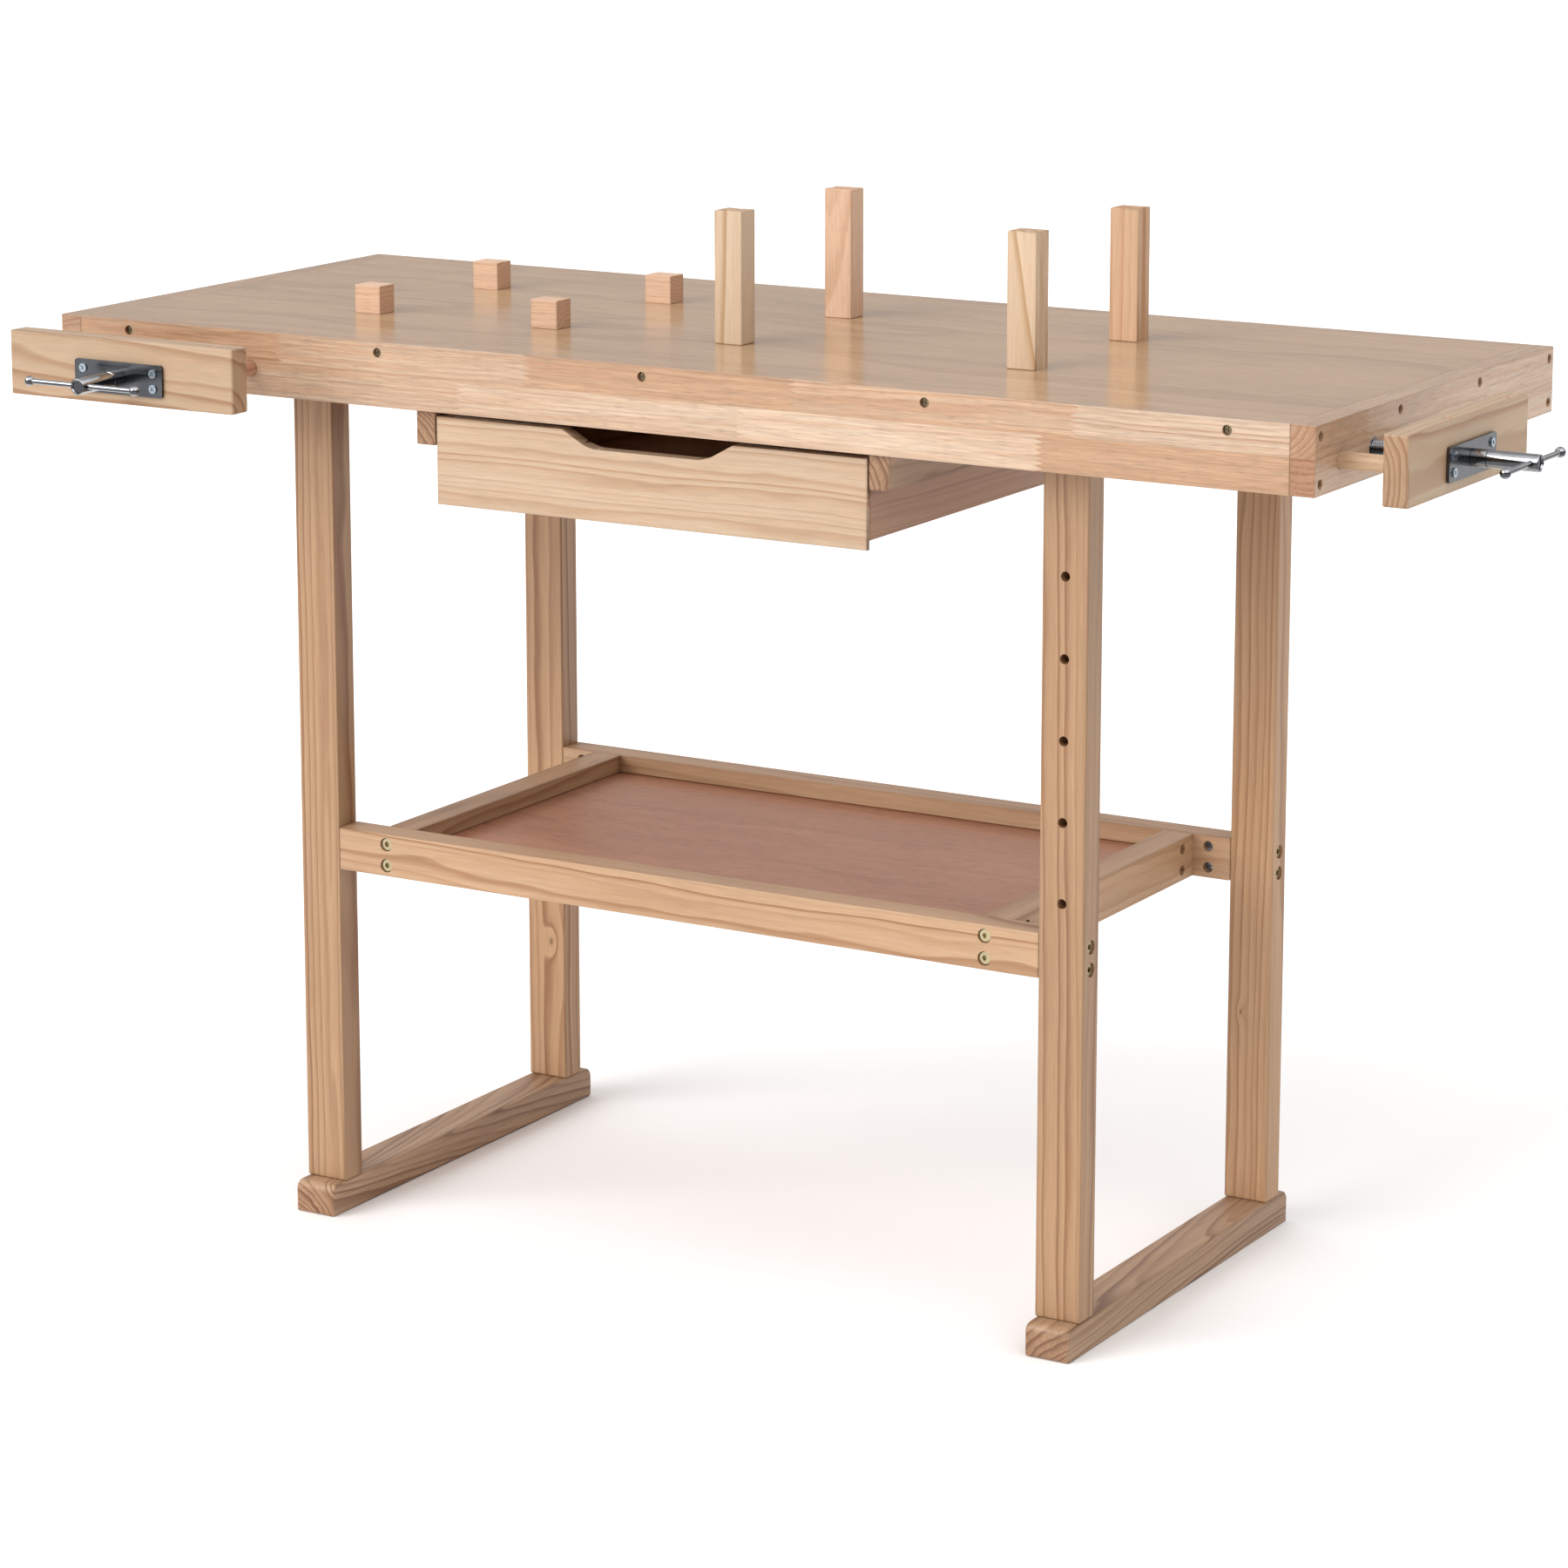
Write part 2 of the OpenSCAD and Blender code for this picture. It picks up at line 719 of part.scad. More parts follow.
// The jaw's face is at y = -opening - jaw_thick, and its top is level with the worktop.
module vise_jaw(opening) {
  face = -opening - jaw_thick;
  color(pine) difference() {
    board([-jaw_length / 2, face, spindle_drop - edge_height], [jaw_length / 2, -opening, spindle_drop]);
    run_y([0, face - 1, 0], spindle_r + 2 * run_gap, jaw_thick + 2);
    run_y([0, face - 1, 0], ring_r + 2 * run_gap, ring_pocket + 1);
    for (side = [-1, 1]) run_y([side * rod_offset, -opening + 1, 0], rod_r + fix_gap, -rod_socket - 1);
    at_plate_screws(opening) cylinder(r = screw_r + fix_gap, h = plate_screw_length + 3);
    for (x = plug_places)
      run_z([x, face + jaw_thick / 2, spindle_drop + 1], plug_r + fix_gap, -plug_depth - 1);
  }
}

module at_plate_screws(opening) {
  for (x = [-1, 1]) for (z = [-1, 1])
    translate([x * plate_screw_x, -opening - jaw_thick - plate_thick - plate_screw_head, z * plate_screw_z])
      rotate([-90, 0, 0]) children();
}

module vise_rods(opening) {
  rod_length = rod_socket + max_opening + cap_thick + rod_engage;
  color(dowel_wood) for (side = [-1, 1])
    run_y([side * rod_offset, -opening - rod_socket, 0], rod_r, rod_length);
}

module vise_plate(opening) {
  color(chrome) difference() {
    translate([0, -opening - jaw_thick, 0]) rotate([90, 0, 0]) linear_extrude(plate_thick) union() {
      square([plate_length, plate_height - 2 * plate_corner], center = true);
      square([plate_length - 2 * plate_corner, plate_height], center = true);
      for (x = [-1, 1]) for (z = [-1, 1])
        translate([x * (plate_length / 2 - plate_corner), z * (plate_height / 2 - plate_corner)])
          circle(r = plate_corner);
    }
    run_y([0, -opening - jaw_thick + 1, 0], spindle_r + run_gap, -plate_thick - 2);
    at_plate_screws(opening) cylinder(r = screw_r + fix_gap, h = plate_screw_length + 3);
  }
}

module plate_screw() {
  difference() {
    union() {
      cylinder(r = screw_head_r, h = plate_screw_head);
      cylinder(r = screw_r, h = plate_screw_length);
    }
    cross_slots(45, plate_screw_head - 0.4);
  }
}

module vise_plugs(opening) {
  color(beech) for (x = plug_places)
    run_z([x, -opening - jaw_thick / 2, spindle_drop], plug_r, -plug_depth);
}

// Head with a cross hole for the handle, a boss against the plate, then the long threaded shank
module vise_spindle(opening) {
  face = -opening - jaw_thick - plate_thick;
  handle_y = face - head_length + handle_from_end;
  color(chrome) difference() {
    union() {
      run_y([0, face - head_length, 0], head_r, head_length - boss_height + eps);
      run_y([0, face - boss_height, 0], boss_r, boss_height - 0.3);
      run_y([0, face - boss_height, 0], spindle_r,
        boss_height + plate_thick + jaw_thick + max_opening + cap_thick + rod_engage);
    }
    run_x([-head_r - 1, handle_y, 0], handle_d / 2 + run_gap, 2 * head_r + 2);
  }
}

module vise_ring(opening) {
  color(zinc) difference() {
    run_y([0, -opening - jaw_thick + 0.3, 0], ring_r, ring_thick);
    run_y([0, -opening - jaw_thick - 1, 0], spindle_r + fix_gap, ring_thick + 3);
  }
}

module vise_handle(opening) {
  handle_y = -opening - jaw_thick - plate_thick - head_length + handle_from_end;
  color(chrome) translate([0, handle_y, 0]) union() {
    run_x([-handle_length / 2, 0, 0], handle_d / 2, handle_length);
    for (side = [-1, 1]) translate([side * handle_length / 2, 0, 0]) sphere(r = ball_d / 2);
  }
}

module front_jaw() { placed() at_front_vise() vise_jaw(front_opening); }
module front_guide_rods() { placed() at_front_vise() vise_rods(front_opening); }
module front_jaw_plate() { placed() at_front_vise() vise_plate(front_opening); }
module front_plate_screws() {
  placed() color(zinc) at_front_vise() at_plate_screws(front_opening) plate_screw();
}
module front_jaw_plugs() { placed() at_front_vise() vise_plugs(front_opening); }
module front_spindle() { placed() at_front_vise() vise_spindle(front_opening); }
module front_retaining_ring() { placed() at_front_vise() vise_ring(front_opening); }
module front_handle() { placed() at_front_vise() vise_handle(front_opening); }

module end_jaw() { placed() at_end_vise() vise_jaw(end_opening); }
module end_guide_rods() { placed() at_end_vise() vise_rods(end_opening); }
module end_jaw_plate() { placed() at_end_vise() vise_plate(end_opening); }
module end_plate_screws() {
  placed() color(zinc) at_end_vise() at_plate_screws(end_opening) plate_screw();
}
module end_jaw_plugs() { placed() at_end_vise() vise_plugs(end_opening); }
module end_spindle() { placed() at_end_vise() vise_spindle(end_opening); }
module end_retaining_ring() { placed() at_end_vise() vise_ring(end_opening); }
module end_handle() { placed() at_end_vise() vise_handle(end_opening); }

// ---------- bench dogs ----------

module shank(place) {
  run_z([place[0], place[1], bench_height + eps], shank_d / 2, -shank_length);
}

module short_dog(i) {
  place = short_places[i];
  color(beech) union() {
    translate([place[0] - dog_width / 2, place[1] - dog_depth / 2, bench_height])
      cube([dog_width, dog_depth, short_height]);
    shank(place);
  }
}

// A tall dog has a rounded groove down one side
module tall_dog(i) {
  place = tall_places[i];
  turn = groove_turns[i];
  reach = (abs(turn) == 90 ? dog_width : dog_depth) / 2;
  color(beech) union() {
    difference() {
      translate([place[0] - dog_width / 2, place[1] - dog_depth / 2, bench_height])
        cube([dog_width, dog_depth, tall_height]);
      translate([place[0], place[1], bench_height - 1]) rotate([0, 0, turn])
        translate([0, -reach - 2, 0]) cylinder(r = dog_groove_r, h = tall_height + 2);
    }
    shank(place);
  }
}

module short_dog_1() { placed() short_dog(0); }
module short_dog_2() { placed() short_dog(1); }
module short_dog_3() { placed() short_dog(2); }
module short_dog_4() { placed() short_dog(3); }
module tall_dog_1() { placed() tall_dog(0); }
module tall_dog_2() { placed() tall_dog(1); }
module tall_dog_3() { placed() tall_dog(2); }
module tall_dog_4() { placed() tall_dog(3); }

// ---------- nodes ----------

top_panel();
front_apron();
back_apron();
left_end_cap();
right_end_cap();
apron_screws();
cap_screws();
left_top_rail();
right_top_rail();
top_rail_screws();
front_left_leg();
front_right_leg();
back_left_leg();
back_right_leg();
left_foot();
right_foot();
foot_bolts();
front_rail();
back_rail();
left_crosspiece();
right_crosspiece();
shelf_panel();
rail_bolts();
crosspiece_bolts();
barrel_nuts();
left_runner();
right_runner();
runner_screws();
drawer_front();
drawer_left_side();
drawer_right_side();
drawer_back();
drawer_bottom();
vise_nuts();
vise_nut_screws();
front_jaw();
front_guide_rods();
front_jaw_plate();
front_plate_screws();
front_jaw_plugs();
front_spindle();
front_retaining_ring();
front_handle();
end_jaw();
end_guide_rods();
end_jaw_plate();
end_plate_screws();
end_jaw_plugs();
end_spindle();
end_retaining_ring();
end_handle();
short_dog_1();
short_dog_2();
short_dog_3();
short_dog_4();
tall_dog_1();
tall_dog_2();
tall_dog_3();
tall_dog_4();
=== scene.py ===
"""Looks of a joiner's workbench: wood, metal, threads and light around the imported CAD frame."""

import json
import math
import random

import bmesh
import bpy
from mathutils import Matrix, Vector

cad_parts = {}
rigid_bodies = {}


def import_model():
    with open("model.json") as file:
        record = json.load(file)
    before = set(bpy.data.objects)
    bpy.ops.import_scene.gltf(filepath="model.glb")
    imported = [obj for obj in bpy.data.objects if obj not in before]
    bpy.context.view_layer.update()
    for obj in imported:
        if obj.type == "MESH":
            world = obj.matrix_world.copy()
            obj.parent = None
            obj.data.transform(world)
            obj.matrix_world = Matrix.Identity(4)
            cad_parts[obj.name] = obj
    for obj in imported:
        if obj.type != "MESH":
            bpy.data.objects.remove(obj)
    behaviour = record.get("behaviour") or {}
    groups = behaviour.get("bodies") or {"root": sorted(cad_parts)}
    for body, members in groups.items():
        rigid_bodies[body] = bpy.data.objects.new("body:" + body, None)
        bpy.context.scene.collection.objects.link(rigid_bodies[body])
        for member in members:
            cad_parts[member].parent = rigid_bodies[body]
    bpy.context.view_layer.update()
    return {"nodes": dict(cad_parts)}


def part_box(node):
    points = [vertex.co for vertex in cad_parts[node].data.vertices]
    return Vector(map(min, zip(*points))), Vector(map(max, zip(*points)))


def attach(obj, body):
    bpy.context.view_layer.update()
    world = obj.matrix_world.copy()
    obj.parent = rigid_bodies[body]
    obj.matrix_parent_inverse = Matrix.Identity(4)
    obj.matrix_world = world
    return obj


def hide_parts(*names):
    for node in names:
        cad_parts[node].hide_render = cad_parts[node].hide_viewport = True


MM = 0.001


def clear_start_scene():
    for thing in list(bpy.data.objects):
        bpy.data.objects.remove(thing)


clear_start_scene()
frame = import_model()

# ---------- camera and light ----------
# Places and reaches in metres, angles in degrees, the lens and the sensor in millimetres.

CAMERA_PLACE = (2.1819, -3.7593, 1.5006)
CAMERA_AZIMUTH = 30.488
CAMERA_ELEVATION = 11.078
CAMERA_LENS = 111.26
CAMERA_SHIFT = -0.1333
CAMERA_SENSOR = 36.0
CAMERA_REACH = 200.0
HORIZON_LEVEL = 0.10
HORIZON_TONE = (0.30, 0.30, 0.31, 1.0)
SKY_LEVEL = 0.5
SKY_TONE = (1.0, 1.0, 1.0, 1.0)
SKY_STRENGTH = 1.1


def direction(azimuth, elevation):
    """Unit vector from the bench towards something at that azimuth and elevation, in degrees."""
    a = math.radians(azimuth)
    e = math.radians(elevation)
    return Vector((math.sin(a) * math.cos(e), -math.cos(a) * math.cos(e), math.sin(e)))


def make_camera():
    data = bpy.data.cameras.new("camera")
    data.lens = CAMERA_LENS
    data.sensor_width = CAMERA_SENSOR
    data.shift_y = CAMERA_SHIFT
    data.clip_end = CAMERA_REACH
    camera = bpy.data.objects.new("camera", data)
    camera.location = CAMERA_PLACE
    back = direction(CAMERA_AZIMUTH, CAMERA_ELEVATION)
    camera.rotation_mode = "QUATERNION"
    camera.rotation_quaternion = (-back).to_track_quat("-Z", "Y")
    bpy.context.collection.objects.link(camera)
    bpy.context.scene.camera = camera


def make_sun(name, azimuth, elevation, energy, angle):
    data = bpy.data.lights.new(name, "SUN")
    data.energy = energy
    data.angle = math.radians(angle)
    sun = bpy.data.objects.new(name, data)
    sun.rotation_mode = "QUATERNION"
    sun.rotation_quaternion = (-direction(azimuth, elevation)).to_track_quat("-Z", "Y")
    bpy.context.collection.objects.link(sun)


def make_world():
    """A white studio: bright overhead, greyer towards the horizon."""
    world = bpy.data.worlds.new("studio")
    bpy.context.scene.world = world
    world.use_nodes = True
    tree = world.node_tree
    backdrop = tree.nodes["Background"]
    place = tree.nodes.new("ShaderNodeTexCoord")
    split = tree.nodes.new("ShaderNodeSeparateXYZ")
    ramp = tree.nodes.new("ShaderNodeValToRGB")
    horizon, sky = ramp.color_ramp.elements
    horizon.position = HORIZON_LEVEL
    horizon.color = HORIZON_TONE
    sky.position = SKY_LEVEL
    sky.color = SKY_TONE
    tree.links.new(place.outputs["Generated"], split.inputs[0])
    tree.links.new(split.outputs["Z"], ramp.inputs[0])
    tree.links.new(ramp.outputs["Color"], backdrop.inputs["Color"])
    backdrop.inputs["Strength"].default_value = SKY_STRENGTH


# ---------- shader building ----------


class Shader:
    """One material, with short calls for the nodes that feed its Principled shader."""

    def __init__(self, name, **constants):
        self.material = bpy.data.materials.new(name)
        self.material.use_nodes = True
        self.tree = self.material.node_tree
        self.surface = self.tree.nodes["Principled BSDF"]
        coordinates = self.node("TexCoord")
        self.place = coordinates.outputs["Object"]
        self.normal = coordinates.outputs["Normal"]
        for socket, value in constants.items():
            self.set(socket.replace("_", " "), value)

    def feed(self, socket, value):
        if isinstance(value, bpy.types.NodeSocket):
            self.tree.links.new(value, socket)
        else:
            socket.default_value = value

    def set(self, socket, value):
        self.feed(self.surface.inputs[socket], value)

    def node(self, kind, inputs=None, **settings):
        made = self.tree.nodes.new("ShaderNode" + kind)
        for key, value in settings.items():
            setattr(made, key, value)
        for key, value in (inputs or {}).items():
            self.feed(made.inputs[key], value)
        return made

    def math(self, operation, *values):
        return self.node("Math", dict(enumerate(values)), operation=operation).outputs[0]

    def add(self, a, b):
        return self.math("ADD", a, b)

    def times(self, a, b):
        return self.math("MULTIPLY", a, b)

    def triple(self, x, y, z):
        return self.node("CombineXYZ", {0: x, 1: y, 2: z}).outputs[0]

    def split(self, vector):
        return self.node("SeparateXYZ", {0: vector}).outputs[:]

    def shift(self, vector, offset):
        return self.node("VectorMath", {0: vector, 1: offset}, operation="ADD").outputs[0]

    def stretch(self, vector, scale):
        return self.node("VectorMath", {0: vector, 1: scale}, operation="MULTIPLY").outputs[0]

    def noise(self, vector, detail=2.0, rough=0.5):
        inputs = {"Vector": vector, "Scale": 1.0, "Detail": detail, "Roughness": rough}
        return self.node("TexNoise", inputs).outputs[0]

    def chance(self, vector):
        """Three numbers from 0 to 1 that differ from one whole-number place to the next."""
        return self.split(self.node("TexWhiteNoise", {"Vector": vector}).outputs["Color"])

    def span(self, value, low, high, start=0.0, end=1.0):
        """A value from start to end turned into one from low to high, and held there beyond them."""
        inputs = {"Value": value, "From Min": start, "From Max": end, "To Min": low, "To Max": high}
        return self.node("MapRange", inputs).outputs[0]

    def curve(self, value, *stops):
        """A value run through straight stretches between (position, level) stops."""
        made = self.node("ValToRGB", {0: value})
        elements = made.color_ramp.elements
        while len(elements) < len(stops):
            elements.new(0.5)
        for element, (position, level) in zip(elements, stops):
            element.position = position
            element.color = (level, level, level, 1.0)
        return made.outputs["Color"]

    def mix(self, share, first, second, kind="MIX"):
        made = self.node("Mix", {0: share, 6: first, 7: second}, data_type="RGBA", blend_type=kind)
        return made.outputs[2]

    def bump(self, height, strength, depth):
        made = self.node("Bump", {"Height": height, "Strength": strength, "Distance": depth})
        self.set("Normal", made.outputs[0])


def colour(red, green, blue):
    return (red, green, blue, 1.0)


# ---------- wood ----------


class Look:
    """How one kind of wood looks: its ring colours and width, streaks, pores and gloss."""

    def __init__(self, early, late, ring, wave, streak=0.3, fibre=0.16, fleck=0.35, rough=0.42):
        self.early = early
        self.late = late
        self.ring = ring
        self.wave = wave
        self.streak = streak
        self.fibre = fibre
        self.fleck = fleck
        self.rough = rough


PINE = Look(
    early=colour(0.365, 0.218, 0.115), late=colour(0.185, 0.078, 0.028),
    ring=8.0 * MM, wave=10.0 * MM, streak=0.36, fleck=0.10,
)
DARK_PINE = Look(
    early=colour(0.415, 0.262, 0.155), late=colour(0.145, 0.058, 0.022),
    ring=6.0 * MM, wave=12.0 * MM, streak=0.50, fleck=0.10,
)
WARM_PINE = Look(
    early=colour(0.455, 0.285, 0.165), late=colour(0.245, 0.108, 0.040),
    ring=9.0 * MM, wave=20.0 * MM, streak=0.42, fleck=0.08,
)
PALE_PINE = Look(
    early=colour(0.460, 0.328, 0.222), late=colour(0.285, 0.152, 0.068),
    ring=8.0 * MM, wave=14.0 * MM, streak=0.40, fleck=0.08,
)
JAW_PINE = Look(
    early=colour(0.405, 0.280, 0.178), late=colour(0.235, 0.115, 0.044),
    ring=13.0 * MM, wave=26.0 * MM, streak=0.30, fleck=0.06,
)
END_JAW_PINE = Look(
    early=colour(0.400, 0.280, 0.170), late=colour(0.240, 0.112, 0.048),
    ring=6.2 * MM, wave=8.0 * MM, streak=0.34, fleck=0.08,
)
HONEY_PINE = Look(
    early=colour(0.560, 0.360, 0.220), late=colour(0.430, 0.230, 0.115),
    ring=9.0 * MM, wave=8.0 * MM, streak=0.24, fleck=0.06,
)
CREAM_PINE = Look(
    early=colour(0.540, 0.400, 0.275), late=colour(0.370, 0.215, 0.095),
    ring=13.0 * MM, wave=8.0 * MM, streak=0.22, fleck=0.06,
)
RED_PINE = Look(
    early=colour(0.380, 0.205, 0.118), late=colour(0.235, 0.100, 0.048),
    ring=6.0 * MM, wave=8.0 * MM, streak=0.34, fleck=0.10,
)
RUBBERWOOD = Look(
    early=colour(0.480, 0.360, 0.265), late=colour(0.310, 0.170, 0.092),
    ring=5.5 * MM, wave=12.0 * MM, streak=0.82, fibre=0.34, fleck=0.30, rough=0.36,
)
PANEL = Look(
    early=colour(0.405, 0.262, 0.150), late=colour(0.335, 0.205, 0.110),
    ring=16.0 * MM, wave=30.0 * MM, streak=0.22, fibre=0.16, fleck=0.10, rough=0.17,
)
BEECH = Look(
    early=colour(0.610, 0.400, 0.270), late=colour(0.500, 0.290, 0.175),
    ring=4.0 * MM, wave=3.0 * MM, streak=0.3, fibre=0.14, fleck=0.30, rough=0.46,
)
DOWEL = Look(
    early=colour(0.500, 0.330, 0.200), late=colour(0.380, 0.220, 0.120),
    ring=3.0 * MM, wave=2.0 * MM, fleck=0.3,
)
RED_DOWEL = Look(
    early=colour(0.400, 0.205, 0.120), late=colour(0.290, 0.130, 0.070),
    ring=3.0 * MM, wave=2.0 * MM, fleck=0.3,
)
PLYWOOD = Look(
    early=colour(0.400, 0.185, 0.105), late=colour(0.300, 0.125, 0.068),
    ring=22.0 * MM, wave=60.0 * MM, streak=0.4, fleck=0.6,
)

# How much boards of one look differ per step of a board's shade, which is random or set to paint light, and
# the tones that every look shares.
SHADE_SPREAD = 0.05
END_TINT = colour(0.84, 0.76, 0.70)
KNOT_TONE = colour(0.13, 0.055, 0.022)

# Noise cycles in a metre along the grain, across it and through the board.
RIPPLE_GRAIN = (5.0, 28.0, 28.0)
CLOUD_GRAIN = (2.5, 7.0, 7.0)
WIDE_GRAIN = (2.2, 52.0, 52.0)
MID_GRAIN = (7.0, 270.0, 270.0)
FINE_GRAIN = (34.0, 950.0, 950.0)
PORE_GRAIN = (75.0, 1000.0, 1000.0)
SWAY_GRAIN = 2.2

# How far one board's noises lie from those of the next seed.
SWAY_STEP = 1.7
UNEVEN_STEP = 2.3
GRAIN_STEP = 3.1

# How far the tree's heart wanders, how unevenly it grew and how dark a ring is from its inside out.
RING_DRIFT = 8 * MM
UNEVEN_CYCLES = 0.35
UNEVEN_RINGS = 3.0
RING_PROFILE = ((0.0, 0.0), (0.5, 0.22), (0.84, 1.0), (0.93, 0.8), (1.0, 0.0))
END_RING_SHARE = 0.85

# Where the pore noise turns into dark flecks.
PORE_PROFILE = ((0.0, 0.0), (0.60, 0.0), (0.70, 1.0))

# A knot's stretch along the grain, then its reach, push, core and rim as shares of its size.
KNOT_ALONG = 0.55
KNOT_REACH = 2.6
KNOT_PUSH = 3.0
HEART_CORE = 0.25
HEART_RIM = 0.9

# How far wear reaches in from a board's edges, and how strong and deep the grain's relief is.
PLAIN_WEAR = 3 * MM
JOINTED_WEAR = 2.5 * MM
WOOD_BUMP = 0.35
WOOD_RELIEF = 0.25 * MM


class Cut:
    """Where in the tree one board was sawn, its grain direction, its knots and how light it is: drawn at
    random, or set to paint light onto a board that stands in shade.
    """

    def __init__(self, grain, seed, pith=None, tilt=None, knots=(), shade=None):
        dice = random.Random(seed)
        side = dice.choice((-1, 1))
        drawn_pith = (dice.uniform(-0.02, 0.02), side * dice.uniform(0.015, 0.06))
        drawn_tilt = (dice.uniform(-0.012, 0.012), dice.uniform(-0.03, 0.03))
        self.grain = grain
        self.seed = seed
        self.pith = pith or drawn_pith
        self.tilt = tilt or drawn_tilt
        self.shade = dice.uniform(-1, 1) if shade is None else shade
        self.knots = knots


def board_axes(sh, low, high, grain):
    """Place on the board from its middle, in metres: along the grain, across and through it."""
    middle = (low + high) / 2
    x, y, z = sh.split(sh.shift(sh.place, -middle))
    order = {"X": (x, y, z), "Y": (y, x, z), "Z": (z, x, y)}
    return order[grain]


def edge_closeness(sh, low, high, reach):
    """1 on the board's outer edges, falling to 0 at reach from them."""
    half = (high - low) / 2
    x, y, z = sh.split(sh.shift(sh.place, -(low + high) / 2))
    gaps = [sh.math("SUBTRACT", h, sh.math("ABSOLUTE", c)) for c, h in zip((x, y, z), half)]
    small = sh.math("MINIMUM", gaps[0], gaps[1])
    large = sh.math("MAXIMUM", gaps[0], gaps[1])
    second = sh.math("MAXIMUM", small, sh.math("MINIMUM", large, gaps[2]))
    return sh.span(second, 1.0, 0.0, 0.0, reach)


def knot_fields(sh, along, across, through, cut):
    """How far each knot pushes the rings aside, and how dark its heart is."""
    push = 0.0
    heart = 0.0
    for place, size in cut.knots:
        offset = [sh.math("SUBTRACT", c, p) for c, p in zip((along, across, through), place)]
        lengthened = sh.triple(sh.times(offset[0], KNOT_ALONG), offset[1], offset[2])
        gap = sh.node("VectorMath", {0: lengthened}, operation="LENGTH").outputs["Value"]
        squared = sh.math("POWER", sh.times(gap, 1 / (KNOT_REACH * size)), 2.0)
        swell = sh.math("EXPONENT", sh.times(squared, -1.0))
        push = sh.add(push, sh.times(swell, KNOT_PUSH * size))
        heart = sh.add(heart, sh.span(gap, 1.0, 0.0, HEART_CORE * size, HEART_RIM * size))
    return push, heart


def end_grain(sh, grain):
    """1 on the faces that cut across the fibres, 0 on the others."""
    across = sh.split(sh.normal)["XYZ".index(grain)]
    return sh.span(sh.math("ABSOLUTE", across), 0.0, 1.0, 0.75, 0.95)


def tree_rings(sh, along, across, through, cut, look, extra):
    """Late-wood share, 0 to 1, of the growth rings that a board sawn this way shows."""
    sway = sh.noise(sh.triple(sh.times(along, SWAY_GRAIN), cut.seed * SWAY_STEP, 0.0), detail=1.0)
    drift = sh.span(sway, -RING_DRIFT, RING_DRIFT, 0.2, 0.8)
    a = sh.math("MULTIPLY_ADD", along, cut.tilt[0], sh.add(across, cut.pith[0]))
    b = sh.math("MULTIPLY_ADD", along, cut.tilt[1], sh.add(through, cut.pith[1]))
    b = sh.add(b, drift)
    if extra:
        a = sh.add(a, extra[0])
        b = sh.add(b, extra[1])
    reach = sh.node("VectorMath", {0: sh.triple(0.0, a, b)}, operation="LENGTH").outputs["Value"]
    ripple = sh.noise(sh.stretch(sh.triple(along, across, through), RIPPLE_GRAIN), detail=2.0)
    push, heart = knot_fields(sh, along, across, through, cut)
    warp = sh.math("MULTIPLY_ADD", ripple, look.wave, push)
    years = sh.triple(sh.times(reach, UNEVEN_CYCLES / look.ring), cut.seed * UNEVEN_STEP, 5.0)
    uneven = sh.noise(years, detail=1.0)
    ring = sh.math("MULTIPLY_ADD", sh.add(reach, warp), 1 / look.ring, sh.times(uneven, UNEVEN_RINGS))
    strength = sh.chance(sh.triple(sh.math("FLOOR", ring), cut.seed, 3.0))[0]
    late = sh.curve(sh.math("FRACT", ring), *RING_PROFILE)
    on_end = sh.times(end_grain(sh, cut.grain), END_RING_SHARE)
    shown = sh.math("MAXIMUM", sh.span(strength, 0.15, 1.0), on_end)
    return sh.times(late, shown), heart


def wood_finish(sh, axes, cut, look, base, late, heart, wear, polish=0.0):
    """Streaks, fibres, pores, shading along the edges, end grain, roughness and bump."""
    seeded = sh.shift(sh.triple(*axes), (cut.seed * GRAIN_STEP, 0.0, 0.0))
    fine = sh.noise(sh.stretch(seeded, FINE_GRAIN), detail=1.0)
    mid = sh.noise(sh.stretch(seeded, MID_GRAIN), detail=3.0, rough=0.62)
    wide = sh.noise(sh.stretch(seeded, WIDE_GRAIN), detail=2.0)
    cloud = sh.noise(sh.stretch(seeded, CLOUD_GRAIN), detail=1.0)
    pores = sh.noise(sh.stretch(seeded, PORE_GRAIN), detail=0.0)
    streaks = sh.add(sh.times(mid, 0.65), sh.times(wide, 0.35))
    band = sh.times(sh.span(streaks, 0.0, 1.0, 0.40, 0.66), look.streak)
    base = sh.mix(band, base, look.late)
    grain = sh.add(sh.span(mid, -1.0, 1.0, 0.25, 0.75), sh.span(fine, -1.0, 1.0, 0.25, 0.75))
    level = sh.add(sh.times(grain, look.fibre * 0.5), 1.0 + cut.shade * SHADE_SPREAD)
    level = sh.add(level, sh.span(cloud, -0.06, 0.06, 0.3, 0.7))
    fleck = sh.times(sh.curve(pores, *PORE_PROFILE), look.fleck)
    level = sh.times(level, sh.math("SUBTRACT", 1.0, sh.times(fleck, 0.45)))
    ended = end_grain(sh, cut.grain)
    base = sh.mix(ended, base, sh.mix(1.0, base, END_TINT, kind="MULTIPLY"))
    level = sh.times(level, sh.math("MULTIPLY_ADD", wear, -0.10, 1.0))
    tone = sh.mix(1.0, base, sh.triple(level, level, level), kind="MULTIPLY")
    tone = sh.mix(sh.math("MINIMUM", sh.times(heart, 0.85), 1.0), tone, KNOT_TONE)
    sh.set("Base Color", tone)
    gloss = sh.add(sh.span(fine, -0.05, 0.07, 0.3, 0.7), sh.times(ended, 0.18))
    gloss = sh.math("SUBTRACT", sh.add(gloss, sh.times(wear, 0.08)), polish)
    sh.set("Roughness", sh.add(gloss, look.rough))
    height = sh.add(sh.times(fine, 0.6), sh.times(late, 0.35))
    height = sh.math("SUBTRACT", height, sh.times(fleck, 1.2))
    sh.bump(height, WOOD_BUMP, WOOD_RELIEF)


